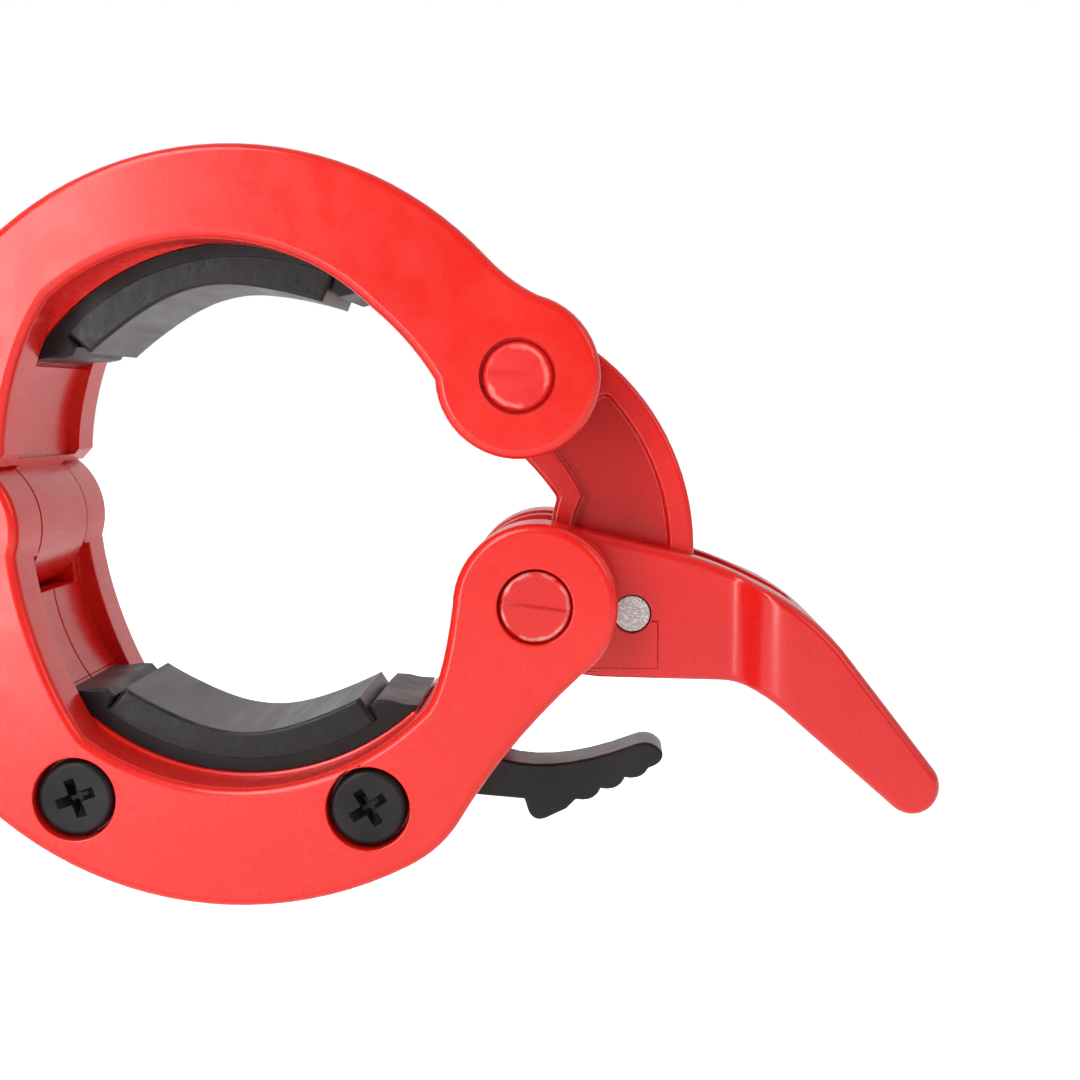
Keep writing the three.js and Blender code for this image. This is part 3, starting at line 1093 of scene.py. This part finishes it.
@dataclass
class LowerJaw:
    """The fixed jaw: two moulded halves with the lever's and the hinge's ears."""

    outer_radius: float = 44.1
    flange_radius: float = 30.5
    seam: float = 0.15
    rim: float = 1.1
    fork: float = 9.1
    lever_slack: float = 0.3
    knuckle_slack: float = 0.6
    latch_room: float = 4.4
    spacer_radius: float = 3.9
    spacer_reach: float = 8.3
    screw_hole: float = 2.3
    counterbore: float = 4.9
    nut_pocket: float = 4.3
    pocket_floor: float = 14.6

    def outline(self, name: str, low: float, high: float) -> Piece:
        """Draws the jaw's outline and pulls it out.

        Args:
            name: the name of the solid.
            low: the level nearer the front.
            high: the level nearer the rear.

        Returns:
            The solid.
        """
        centre = (0.0, -0.5)
        pen = Pen(name, polar(self.outer_radius, 180, centre), low)
        pen.ring_arc(centre, self.outer_radius, 180, 297)
        pen.curve((24, -37.8), (26.2, -34.2)).curve((31.5, -25.2), (40.3, -17))
        pen.ring_arc(LEVER_PIVOT, EAR_RADIUS, -56, 180)
        pen.curve((24.3, -17.6), polar(self.flange_radius, -43))
        pen.ring_arc((0, 0), self.flange_radius, -43, -125)
        knuckle = polar(EAR_RADIUS, -18, HINGE)
        pen.curve((-19.2, -23.6), (-24.4, -13.5), knuckle, steps=12)
        pen.ring_arc(HINGE, EAR_RADIUS, -18, 180)
        return pen.solid(high)

    def half(self, side: Side) -> Piece:
        """Builds one half.

        Args:
            side: the side of the collar that it stands on.

        Returns:
            The half.
        """
        sign = side.value
        low, high = sorted((sign * HALF_WIDTH, sign * self.seam))
        piece = self.outline("half jaw", low, high)
        fillet(piece, self.rim, 4, at_depth(sign * HALF_WIDTH))
        seat(piece, LOWER_AZIMUTH, tuple(sorted((sign * LAND_HALF, sign * self.seam))))
        work(piece, Joinery.CUT, *self.cutters(side))
        return soften(piece, JAW_EDGE)

    def cutters(self, side: Side) -> list[Piece]:
        """Makes the solids that are cut out of a half.

        Args:
            side: the side of the collar.

        Returns:
            The cutters.
        """
        full, fork, room = HALF_WIDTH + 1, self.fork, self.latch_room
        spacer, floor = self.spacer_reach, self.pocket_floor
        channel = [(20, 6), (20, -16.5), (26.1, -16.5), (27, -32.5), (60, -32.5), (60, 6)]
        knuckle = [(-50, 20), (-50, -9), (-20, -9), (-20, 20)]
        cavity = [
            (15.5, -28.1),
            (31.5, -26.6),
            (40, -26.6),
            (40, -50),
            (22, -50),
            (18.6, -41.6),
            (12.6, -36.4),
        ]
        tools = [
            slab("channel", channel, -fork, fork),
            rod("lever room", LEVER_PIVOT, EAR_RADIUS + self.lever_slack, -fork, fork, 64),
            slab("knuckle gap", knuckle, -fork, fork),
            rod("knuckle room", HINGE, EAR_RADIUS + self.knuckle_slack, -fork, fork, 64),
            slab("latch cavity", cavity, -room, room),
            rod("latch room", LATCH_PIVOT, room, -room, room),
            *bearing("trunnion hole", LEVER_PIVOT),
            rod("pin hole", HINGE, PIN_HOLE, -full, full),
            rod("spacer pocket", LEFT_SCREW, self.spacer_radius, -spacer, spacer),
            Pen("flange channel", (-18, -16), -LAND_HALF)
            .line((-22.1, -20.5))
            .curve((-25.9, -15.4), (-27.3, -9), (-27.2, -4), steps=10)
            .line((-20, -4))
            .solid(LAND_HALF),
        ]
        for centre in (LATCH_PIVOT, LEFT_SCREW):
            tools.append(rod("screw hole", centre, self.screw_hole, -full, full, 32))
            if side is Side.FRONT:
                bore = self.counterbore
                tools.append(rod("counterbore", centre, bore, -full, -floor, 64))
            else:
                tools.append(rod("nut pocket", centre, self.nut_pocket, floor, full, 6))
        return tools

    def build(self, material: Material) -> None:
        """Builds and mounts both halves.

        Args:
            material: the jaws' nylon.
        """
        for side in Side:
            node = f"lower_jaw_{side.name.lower()}"
            Fitting("lower_jaw", "jaw_red", node, material).fit(self.half(side))


@dataclass
class UpperJaw:
    """The swinging jaw, drawn closed and then raised about the hinge."""

    outer_radius: float = 40.6
    flange_centre: Point = (-2.6, 2.4)
    flange_radius: float = 27.7
    knuckle_half: float = 8.8
    rim: float = 1.1
    hinge_slack: float = 0.5
    link_room: float = 4.5

    def outline(self, name: str, low: float, high: float) -> Piece:
        """Draws the jaw's outline and pulls it out.

        Args:
            name: the name of the solid.
            low: the level nearer the front.
            high: the level nearer the rear.

        Returns:
            The solid.
        """
        ear = turned(LINK_PIVOT, HINGE, JAW_SWING)
        start = polar(self.flange_radius, 125, self.flange_centre)
        pen = Pen(name, start, low)
        pen.ring_arc(self.flange_centre, self.flange_radius, 125, 40)
        pen.curve((22.6, 16.2), polar(EAR_RADIUS, 177, ear))
        pen.ring_arc(ear, EAR_RADIUS, 177, 430)
        pen.curve((34.6, 21.6), polar(self.outer_radius, 37.5))
        pen.ring_arc((0, 0), self.outer_radius, 37.5, 166)
        pen.line(HINGE, (-25.8, 7.6)).curve((-25.2, 13), (-22.5, 20.5), start, steps=12)
        return pen.solid(high)

    def shape(self) -> Piece:
        """Builds the jaw in its closed place.

        Returns:
            The jaw.
        """
        full, ear = HALF_WIDTH + 1, turned(LINK_PIVOT, HINGE, JAW_SWING)
        piece = self.outline("upper_jaw", -HALF_WIDTH, HALF_WIDTH)
        room = rod("hinge room", HINGE, EAR_RADIUS + self.hinge_slack, -full, full, 64)
        fillet(piece, self.rim, 4, at_depth(-HALF_WIDTH, HALF_WIDTH))
        work(piece, Joinery.CUT, room)
        half = self.knuckle_half
        work(
            piece,
            Joinery.ADD,
            self.outline("knuckle web", -half, half),
            rod("knuckle", HINGE, EAR_RADIUS, -half, half, 64),
        )
        seat(piece, UPPER_AZIMUTH, (-LAND_HALF, LAND_HALF))
        gap = [(20, -6), (20, 14), (28, 22), (60, 22), (60, -6)]
        work(
            piece,
            Joinery.CUT,
            Pen("flange channel", (-20, 7), -LAND_HALF)
            .line((-27.4, 7))
            .curve((-26.9, 13), (-24.1, 18.2))
            .line((-20, 16))
            .solid(LAND_HALF),
            slab("link gap", gap, -self.link_room, self.link_room),
            *bearing("link pin hole", ear),
            rod("pin hole", HINGE, PIN_HOLE, -full, full),
        )
        return soften(piece, JAW_EDGE)

    def build(self, material: Material) -> None:
        """Builds and mounts the jaw."""
        piece = raised(self.shape())
        Fitting("upper_jaw", "jaw_red", "upper_jaw", material).fit(piece)


def raised(piece: Piece) -> Piece:
    """Swings a piece drawn with the jaws closed up to where the open jaw stands.

    Args:
        piece: the piece.

    Returns:
        The piece.
    """
    open_up(piece)
    bpy.ops.mesh.select_all(action="SELECT")
    bpy.ops.transform.rotate(
        value=math.radians(JAW_SWING),
        orient_axis="Y",
        center_override=metric(HINGE, 0),
    )
    put_down()
    return piece


@dataclass
class Grip:
    """A rubber pad and the black strip that carries it, at one azimuth."""

    name: str
    body: str
    azimuth: float
    lifted: bool
    half_width: float = 10.5
    half_angle: float = 35.0
    middle: float = 25.2
    squeeze: float = 0.55
    base: float = 28.4
    outer: float = 30.0
    lobe_start: float = 35.6  # degrees off the middle
    lobe_end: float = 45.5
    rim: float = 0.5
    joint: float = 0.05  # gap between the pad and its strip
    swell: float = 0.12  # how uneven the bearing surface is

    def pad(self) -> Piece:
        """Builds the rubber pad with its waved bearing surface.

        Returns:
            The pad.
        """
        steps = 40
        wave: list[Point] = []
        for index in range(steps + 1):
            t = 2 * index / steps - 1
            rise = self.squeeze * math.sin(0.714 * math.pi * t) ** 2
            wave.append(polar(self.middle - rise, self.azimuth + t * self.half_angle))
        pen = Pen(self.name, wave[0], -self.half_width).line(*wave[1:])
        start, end = self.azimuth + self.half_angle, self.azimuth - self.half_angle
        pen.ring_arc((0, 0), self.base - self.joint, start, end)
        piece = pen.solid(self.half_width, 14)
        ends = at_depth(-self.half_width, self.half_width)
        brim = self.base - 1.4  # the bearing surface stays inside this radius
        fillet(piece, self.rim, 3, lambda edge: ends(edge) and reach(edge) < brim)
        return self.uneven(piece)

    def uneven(self, piece: Piece) -> Piece:
        """Gives the bearing surface the slight unevenness of moulded rubber.

        Args:
            piece: the pad.

        Returns:
            The pad.
        """
        take_up(piece)
        group = piece.vertex_groups.new(name="bearing")
        inner = [
            corner.index
            for corner in piece.data.vertices
            if math.hypot(corner.co.x, corner.co.z) / MM < self.base - 1
        ]
        group.add(inner, 1.0, "REPLACE")
        clouds = bpy.data.textures.new("rubber swell", "CLOUDS")
        clouds.noise_scale = 0.006
        modifier = piece.modifiers.new("swell", "DISPLACE")
        modifier.texture = clouds
        modifier.texture_coords = "LOCAL"
        modifier.strength = self.swell * MM
        modifier.mid_level = 1.0
        modifier.vertex_group = group.name
        bpy.ops.object.modifier_apply(modifier=modifier.name)
        piece.vertex_groups.clear()
        return piece

    def strip(self) -> Piece:
        """Builds the base strip with a thick lobe past each end of the pad.

        Returns:
            The strip.
        """
        lobe = [
            (self.lobe_start, self.base),
            (35.9, 26.5),
            (38.5, 26.3),
            (41.0, 27.3),
            (43.2, 28.8),
            (self.lobe_end, self.outer),
        ]
        start = [polar(radius, self.azimuth - angle) for angle, radius in lobe]
        end = [polar(radius, self.azimuth + angle) for angle, radius in lobe]
        pen = Pen(f"{self.name}_base", start[-1], -self.half_width)
        pen.line(*reversed(start[:-1]))
        first, last = self.lobe_start, self.lobe_end
        pen.ring_arc((0, 0), self.base, self.azimuth - first, self.azimuth + first)
        pen.line(*end)
        pen.ring_arc((0, 0), self.outer, self.azimuth + last, self.azimuth - last)
        piece = pen.solid(self.half_width)
        ends = at_depth(-self.half_width, self.half_width)
        brim = self.base - 0.1  # only the lobes reach inside this radius
        return fillet(piece, self.rim, 3, lambda edge: ends(edge) and reach(edge) < brim)

    def build(self, rubber: Material, black: Material) -> None:
        """Builds and mounts the pad and its strip.

        Args:
            rubber: the pad's material.
            black: the strip's material.
        """
        for piece, slot, node, material in (
            (self.pad(), "grip_rubber", self.name, rubber),
            (self.strip(), "base_black", f"{self.name}_base", black),
        ):
            if self.lifted:
                raised(piece)
            Fitting(self.body, slot, node, material).fit(piece)


@dataclass
class Link:
    """The curved link: a sunk web between two rims, a boss and a slotted eye."""

    half: float = 4.2
    web: float = 1.9
    arc_centre: Point = (23.7, -3.4)
    arc_radius: float = 30.2
    rim: float = 3.0
    boss: float = 7.3
    eye: float = 6.2
    slot: float = 2.5

    def body(self) -> Piece:
        """Draws the link's outline and rounds its rims.

        Returns:
            The solid.
        """
        pen = Pen("link", polar(self.boss, 66, LINK_PIVOT), -self.half)
        pen.ring_arc(LINK_PIVOT, self.boss, 66, 236)
        pen.curve((34.2, 7.2), (37.1, 2.9)).curve((36.4, 0.6), (36.3, -1.4))
        pen.curve((36.2, -8), (41.4, -14.6))
        pen.ring_arc(LINK_PIN, self.eye, 218, 342)
        pen.ring_arc(self.arc_centre, self.arc_radius, -15, 63)
        piece = pen.solid(self.half)
        return fillet(piece, 0.7, 3, at_depth(-self.half, self.half))

    def panel(self, low: float, high: float) -> Piece:
        """Draws the sunk panel between the rims.

        Args:
            low: the level nearer the front.
            high: the level nearer the rear.

        Returns:
            The cutter.
        """
        radius = self.arc_radius - self.rim
        pen = Pen("panel", polar(radius, -8, self.arc_centre), low)
        pen.ring_arc(self.arc_centre, radius, -8, 42)
        pen.curve((43, 16.4), (41, 14)).line((36.6, 8.6)).curve((38.8, 6), (40.2, 3.1))
        pen.curve((39, 0.8), (38.9, -1)).curve((39, -4.4), (41.4, -5.6))
        pen.curve((45, -3.4), (47.6, -4))
        return pen.solid(high)

    def pin_slot(self) -> Piece:
        """Joins round cutters along the steel pin's path in the link.

        Returns:
            The cutter.
        """
        through, steps, slot = self.half + 1, 8, None
        for index in range(steps + 1):
            share = index / steps
            pin = turned(LINK_PIN, LEVER_PIVOT, LEVER_SWING * share)
            pin = turned(pin, HINGE, -JAW_SWING * share)
            pin = turned(pin, LINK_PIVOT, -LINK_SWING * share)
            hole = rod("pin slot", pin, self.slot, -through, through, 32)
            slot = hole if slot is None else work(slot, Joinery.ADD, hole)
        return slot

    def build(self, material: Material) -> None:
        """Builds and mounts the link.

        Args:
            material: the link's nylon.
        """
        through = self.half + 1
        piece = self.body()
        work(
            piece,
            Joinery.CUT,
            self.panel(-through, -self.web),
            self.panel(self.web, through),
            rod("boss hole", LINK_PIVOT, TRUNNION_HOLE, -through, through),
            self.pin_slot(),
        )
        soften(piece, 0.35, 3)
        Fitting("link", "link_red", "link", material).fit(piece)


@dataclass
class Lever:
    """The lever: two cheeks, a wide bent handle and the trunnions moulded on it."""

    half: float = 8.8
    slot: float = 4.5
    handle_half: float = 13.0
    catch: float = 28.6
    rim: float = 1.05
    cheek_radius: float = 9.3
    pin_hole: float = 2.3
    step: float = 0.12  # how proud the step on the front cheek stands
    trunnion: float = 4.1
    trunnion_end: float = 17.5

    def side(self) -> Piece:
        """Draws the lever as seen from the front, as thick as its cheeks.

        Returns:
            The solid.
        """
        pen = Pen("lever", polar(self.cheek_radius, 72, LEVER_PIVOT), -self.half)
        pen.ring_arc(LEVER_PIVOT, self.cheek_radius, 72, 285)
        pen.line((42.3, -18.6), (56.8, -18.9)).curve((60.6, -18.9), (64.2, -21.9))
        pen.ring_arc((79.5, -30.9), 3.3, 228, 398)
        pen.line((72.2, -16)).curve((67.8, -10), (61, -6.9), steps=8)
        pen.curve((57, -4.9), (53.9, -4))
        return pen.solid(self.half)

    def stations(self) -> list[Point]:
        """Lists where the width changes along the lever, as (x, half width)."""
        narrow, wide, tip, corner = self.half, self.handle_half, 84.0, 3.0
        swell = [(57.5, narrow), (61.2, narrow), (59.8, wide), (66.0, wide)]
        close = [(tip - corner, wide), (tip, wide), (tip, wide - corner)]
        return bezier(swell, 12) + bezier(close, 6)

    def widen(self, piece: Piece) -> Piece:
        """Slices the handle crosswise and pulls each slice out to its width.

        Args:
            piece: the lever as thick as its cheeks.

        Returns:
            The lever.
        """
        stations = self.stations()
        for x, _ in stations:
            open_up(piece)
            bpy.ops.mesh.select_all(action="SELECT")
            bpy.ops.mesh.bisect(plane_co=(x * MM, 0, 0), plane_no=(1, 0, 0))
        mesh = open_up(piece)
        levels = sorted({round(corner.co.x / MM, 3) for corner in mesh.verts})
        for level in levels:
            width = interpolated(stations, level)
            if width > self.half + TOUCH:
                mesh = open_up(piece)
                bpy.ops.mesh.select_mode(type="VERT")
                for corner in mesh.verts:
                    corner.select_set(round(corner.co.x / MM, 3) == level)
                bpy.ops.transform.resize(
                    value=(1, width / self.half, 1), center_override=(0, 0, 0)
                )
        put_down()
        return piece

    def build(self, material: Material) -> None:
        """Builds and mounts the lever.

        Args:
            material: the lever's nylon.
        """
        through = self.handle_half + 1
        piece = fillet(self.side(), self.rim, 4, at_depth(-self.half, self.half))
        self.widen(piece)
        notch = [(20, 12), (20, -9), (62, -9), (63.5, -12.5), (66, -12.5), (66, 12)]
        for side in Side:
            ends = sorted((side.value * (self.half - 1), side.value * self.trunnion_end))
            work(piece, Joinery.ADD, self.stub(side, *ends))
        step = [(38, -17.4), (49.4, -17.4), (49.4, -11.7), (38, -11.7)]
        proud, rooted = -self.half - self.step, -self.half + 0.4
        work(piece, Joinery.ADD, slab("raised step", step, proud, rooted))
        work(
            piece,
            Joinery.CUT,
            rod("catch sweep", LEVER_PIVOT, self.catch, -self.slot, self.slot, 120),
            slab("slot", notch, -self.slot, self.slot),
            rod("pin hole", LINK_PIN, self.pin_hole, -through, through),
        )
        soften(piece, 0.15)
        Fitting("lever", "lever_red", "lever", material).fit(piece)

    def stub(self, side: Side, low: float, high: float) -> Piece:
        """Makes one trunnion with a broken end and a raised parting line across it.

        Args:
            side: the side that it stands on.
            low: its end nearer the front.
            high: its end nearer the rear.

        Returns:
            The trunnion.
        """
        outer = low if side is Side.FRONT else high
        piece = rod("trunnion", LEVER_PIVOT, self.trunnion, low, high, 64)
        fillet(piece, 0.4, 3, at_depth(outer))
        long, wide, tilt, rooted, proud = 3.9, 0.09, 8, 0.5, 0.08
        corners = [
            turned((LEVER_PIVOT[0] + x, LEVER_PIVOT[1] + z), LEVER_PIVOT, tilt)
            for x, z in ((-long, -wide), (long, -wide), (long, wide), (-long, wide))
        ]
        ends = sorted((outer - side.value * rooted, outer + side.value * proud))
        return work(piece, Joinery.ADD, slab("parting line", corners, *ends))


@dataclass
class Latch:
    """The thumb latch, with a lip round its faces and a scalloped lower edge."""

    half: float = 3.8
    barrel: float = 3.8
    bore: float = 3.2
    spring_room: float = 6.2
    spring_floor: float = 0.4
    rim: float = 0.35
    lip: float = 0.3
    slope: float = 0.15  # width of the fall from the lip to the sunk face
    sunk: float = 0.08

    def outline(self) -> Piece:
        """Draws the latch.

        Returns:
            The solid.
        """
        pen = Pen("release_latch", polar(self.barrel, 90, LATCH_PIVOT), -self.half)
        pen.ring_arc(LATCH_PIVOT, self.barrel, 90, 230)
        pen.line((20.4, -41.2)).curve((24.4, -39.4), (26.9, -34.2))
        pen.line((33.1, -34.7), (33.6, -36.3)).curve((34.3, -37.7), (35.8, -37.1))
        pen.line((38.3, -35.9))
        for x, z in ((39.5, -34.7), (42.5, -33.3), (45.5, -31.9)):
            pen.line((x, z)).curve((x + 2.2, z - 0.4), (x + 3, z + 1.2), steps=5)
        pen.curve((50.6, -30), (50.2, -28.6)).curve((48.9, -26.9), (46.8, -27.7))
        pen.curve((36.8, -31.6), (30.3, -29.6)).line((15.5, -28.9))
        return pen.solid(self.half)

    def build(self, material: Material) -> None:
        """Builds and mounts the latch.

        Args:
            material: the latch's nylon.
        """
        piece = self.outline()
        fillet(piece, self.rim, 3, at_depth(-self.half, self.half))
        choose(piece, Element.FACE, lambda face: abs(face.normal.y) > SQUARE)
        bpy.ops.mesh.inset(thickness=self.lip * MM, depth=0)
        bpy.ops.mesh.inset(thickness=self.slope * MM, depth=-self.sunk * MM)
        put_down()
        through = self.half + 1
        work(
            piece,
            Joinery.CUT,
            rod("sleeve bore", LATCH_PIVOT, self.bore, -through, through),
            rod("spring pocket", LATCH_PIVOT, self.spring_room, self.spring_floor, through),
        )
        soften(piece, 0.12)
        Fitting("release_latch", "latch_black", "release_latch", material).fit(piece)


@dataclass
class Screw:
    """A pan-head screw with a cross recess, and its nut in the rear pocket."""

    tag: str
    centre: Point
    head: float = 4.5
    shank: float = 2.0
    face: float = -17.5
    seat: float = -14.65
    end: float = 17.4
    turn: float = 33.0
    recess: float = 1.9
    recess_taper: float = 0.42
    nut_seat: float = 14.65
    nut_end: float = 17.6
    nut_radius: float = 4.0

    def cross(self) -> Piece:
        """Draws the tapering cross recess.

        Returns:
            The cutter.
        """
        arm, wide = 2.7, 0.68
        corners = [
            (arm, -wide), (arm, wide), (wide, wide), (wide, arm), (-wide, arm),
            (-wide, wide), (-arm, wide), (-arm, -wide), (-wide, -wide), (-wide, -arm),
            (wide, -arm), (wide, -wide),
        ]
        placed = [
            turned((self.centre[0] + x, self.centre[1] + z), self.centre, -self.turn)
            for x, z in corners
        ]
        piece = slab("cross", placed, self.face - 0.5, self.face + self.recess)
        choose(piece, Element.FACE, lambda face: face.normal.y > SQUARE)
        bpy.ops.transform.resize(
            value=(self.recess_taper, 1, self.recess_taper),
            center_override=metric(self.centre, self.face + self.recess),
        )
        put_down()
        return piece

    def screw(self) -> Piece:
        """Builds the screw.

        Returns:
            The screw.
        """
        piece = rod(f"screw_{self.tag}", self.centre, self.head, self.face, self.seat, 64)
        fillet(piece, 0.7, 4, at_depth(self.face))
        shank = rod("shank", self.centre, self.shank, self.seat - 0.5, self.end, 40)
        fillet(shank, 0.4, 2, at_depth(self.end))
        work(piece, Joinery.ADD, shank)
        work(piece, Joinery.CUT, self.cross())
        return soften(piece, 0.1)

    def nut(self) -> Piece:
        """Builds the nut with its chamfered corners and open thread.

        Returns:
            The nut.
        """
        low, high = self.nut_seat, self.nut_end
        piece = rod(f"nut_{self.tag}", self.centre, self.nut_radius, low, high, 6)
        blank = rod("turned blank", self.centre, self.nut_radius - 0.02, low, high, 64)
        fillet(blank, 0.42, 1, at_depth(low, high))
        work(piece, Joinery.KEEP_COMMON, blank)
        hole = rod("thread", self.centre, self.shank + 0.1, low - 1, high + 1, 40)
        work(piece, Joinery.CUT, hole)
        return soften(piece, 0.1)

    def build(self, material: Material) -> None:
        """Builds and mounts the screw and its nut.

        Args:
            material: the black finish of both.
        """
        for piece, kind in ((self.screw(), "screw"), (self.nut(), "nut")):
            node = f"{kind}_{self.tag}"
            Fitting("lower_jaw", "screw_black", node, material).fit(piece)


@dataclass
class Pins:
    """The jaws' hinge pin, the link's staked pin and the steel pin of the lever."""

    hinge_radius: float = 3.0
    hinge_end: float = 17.6
    staked_radius: float = 4.1
    staked_end: float = 17.5
    steel_radius: float = 2.2
    steel_end: float = 8.6

    def hinge(self) -> Piece:
        """Builds the jaws' hinge pin.

        Returns:
            The pin.
        """
        end = self.hinge_end
        piece = rod("hinge_pin", HINGE, self.hinge_radius, -end, end)
        return fillet(piece, 0.4, 2, at_depth(-end, end))

    def staked(self) -> Piece:
        """Builds the link's pin, whose ends are turned down and pressed over.

        Returns:
            The pin.
        """
        end = self.staked_end
        piece = rod("link_hinge_pin", LINK_PIVOT, self.staked_radius, -end, end, 64)
        return fillet(piece, 0.75, 3, at_depth(-end, end))

    def steel(self) -> Piece:
        """Builds the steel pin with its cropped ends.

        Returns:
            The pin.
        """
        end = self.steel_end
        piece = rod("link_steel_pin", LINK_PIN, self.steel_radius, -end, end)
        return fillet(piece, 0.18, 2, at_depth(-end, end))

    def build(self, steel: Material, red: Material) -> None:
        """Builds and mounts the pins.

        Args:
            steel: the bright steel.
            red: the staked pin's nylon.
        """
        for piece, body, slot, node, material in (
            (self.hinge(), "lower_jaw", "steel", "hinge_pin", steel),
            (self.staked(), "upper_jaw", "pin_red", "link_hinge_pin", red),
            (self.steel(), "lever", "steel", "link_steel_pin", steel),
        ):
            Fitting(body, slot, node, material).fit(piece)


def dress_hidden_nodes(nodes: dict[str, Piece], steel: Material) -> None:
    """Gives the sleeves and the spring inside the jaw their steel.

    Args:
        nodes: the frame's own pieces by name.
        steel: the bright steel.
    """
    for name in ("latch_sleeve", "spacer_sleeve", "latch_spring"):
        nodes[name].data.materials.clear()
        nodes[name].data.materials.append(steel)
        LOG.info("%s keeps its own mesh", name)


# ---- the studio -----------------------------------------------------------------------
@dataclass
class Studio:
    """The pale floor, the soft lights and the camera."""

    floor_level: float = -0.070
    eye: tuple[float, float, float] = (0.0432, -0.2126, 0.0143)
    aim: tuple[float, float, float] = (0.0356, -0.018, -0.0012)
    lens: float = 56.85
    lit: tuple[float, float, float] = (0.02, 0.0, 0.0)  # where the lamps point

    def floor(self) -> None:
        """Lays a wide, flat white floor."""
        put_down()
        bpy.ops.mesh.primitive_plane_add(size=8, location=(0, 0, self.floor_level))
        floor = bpy.context.object
        floor.name = "floor"
        recipe = Recipe("white floor")
        tint = recipe.ramp(recipe.noise(3, 2), [(0.3, (0.9, 0.9, 0.9)), (0.7, (0.92,) * 3)])
        recipe.drive("Base Color", tint)
        recipe.set(Roughness=0.7)
        recipe.shader.inputs["Emission Color"].default_value = (1, 1, 1, 1)
        seen = recipe.add("ShaderNodeLightPath").outputs["Is Camera Ray"]
        recipe.drive("Emission Strength", recipe.reckon("MAXIMUM", seen, 0.3))
        floor.data.materials.append(recipe.material)

    def surround(self) -> None:
        """Fills the room with white light that is dimmer on the viewer's side."""
        world = bpy.data.worlds.new("white room")
        world.use_nodes = True
        bpy.context.scene.world = world
        tree = world.node_tree
        background = tree.nodes["Background"]
        background.inputs["Color"].default_value = (1, 1, 1, 1)
        place = tree.nodes.new("ShaderNodeTexCoord")
        split = tree.nodes.new("ShaderNodeSeparateXYZ")
        span = tree.nodes.new("ShaderNodeMapRange")
        span.interpolation_type = "SMOOTHSTEP"
        for key, number in {
            "From Min": -0.9, "From Max": 0.9, "To Min": 0.1, "To Max": 0.72,
        }.items():
            span.inputs[key].default_value = number
        path = tree.nodes.new("ShaderNodeLightPath")
        seen = tree.nodes.new("ShaderNodeMath")
        seen.operation = "MAXIMUM"
        tree.links.new(place.outputs["Generated"], split.inputs["Vector"])
        tree.links.new(split.outputs["Y"], span.inputs["Value"])
        tree.links.new(span.outputs["Result"], seen.inputs[0])
        tree.links.new(path.outputs["Is Camera Ray"], seen.inputs[1])
        tree.links.new(seen.outputs["Value"], background.inputs["Strength"])

    def hang(
        self, data: bpy.types.ID, spot: Sequence[float], at: Sequence[float]
    ) -> bpy.types.Object:
        """Puts a lamp or a camera at a place and points it.

        Args:
            data: the lamp's or camera's own data.
            spot: where it goes, in metres.
            at: what it points at, in metres.

        Returns:
            Its object.
        """
        holder = bpy.data.objects.new(data.name, data)
        bpy.context.scene.collection.objects.link(holder)
        holder.location = spot
        towards = Vector(at) - Vector(spot)
        holder.rotation_euler = towards.to_track_quat("-Z", "Y").to_euler()
        return holder

    def lamp(self, name: str, spot: Sequence[float], size: Span, power: float) -> None:
        """Hangs a soft rectangular light that faces the collar.

        Args:
            name: its name.
            spot: where it hangs, in metres.
            size: its width and its height, in metres.
            power: its power in watts.
        """
        light = bpy.data.lights.new(name, "AREA")
        light.shape = "RECTANGLE"
        light.size, light.size_y = size
        light.energy = power
        self.hang(light, spot, self.lit)

    def camera(self) -> None:
        """Sets up the camera."""
        lens = bpy.data.cameras.new("camera")
        lens.lens, lens.sensor_width = self.lens, 36
        lens.clip_start = 0.01
        bpy.context.scene.camera = self.hang(lens, self.eye, self.aim)

    def build(self) -> None:
        """Sets up the whole studio."""
        self.floor()
        self.surround()
        for name, spot, size, power in (
            ("key", (-0.22, -0.42, 0.5), (0.3, 0.3), 1.85),
            ("strip", (-0.17, -0.38, 0.02), (0.1, 0.5), 1.1),
            ("fill", (0.55, -0.3, 0.3), (0.3, 0.3), 0.55),
        ):
            self.lamp(name, spot, size, power)
        self.camera()
        bpy.context.scene.view_settings.view_transform = "Standard"
        LOG.info("studio ready")


def main() -> None:
    """Builds every sub-assembly in order round the frame."""
    logging.basicConfig(level=logging.INFO, format="%(name)s: %(message)s")
    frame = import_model()
    Studio().build()
    red, rubber, steel, pin_red = (
        finish.make() for finish in (RED, RUBBER, STEEL, PIN_RED)
    )
    LowerJaw().build(red)
    UpperJaw().build(red)
    base_black = BASE_BLACK.make()
    Grip("lower_pad", "lower_jaw", LOWER_AZIMUTH, False).build(rubber, base_black)
    Grip("upper_pad", "upper_jaw", UPPER_AZIMUTH, True).build(rubber, base_black)
    Link().build(LINK_RED.make())
    Lever().build(LEVER_RED.make())
    Latch().build(LATCH_BLACK.make())
    screw_black = SCREW_BLACK.make()
    Screw("right", LATCH_PIVOT).build(screw_black)
    Screw("left", LEFT_SCREW, turn=20.0).build(screw_black)
    Pins().build(steel, pin_red)
    dress_hidden_nodes(frame["nodes"], steel)


if __name__ == "__main__":
    main()
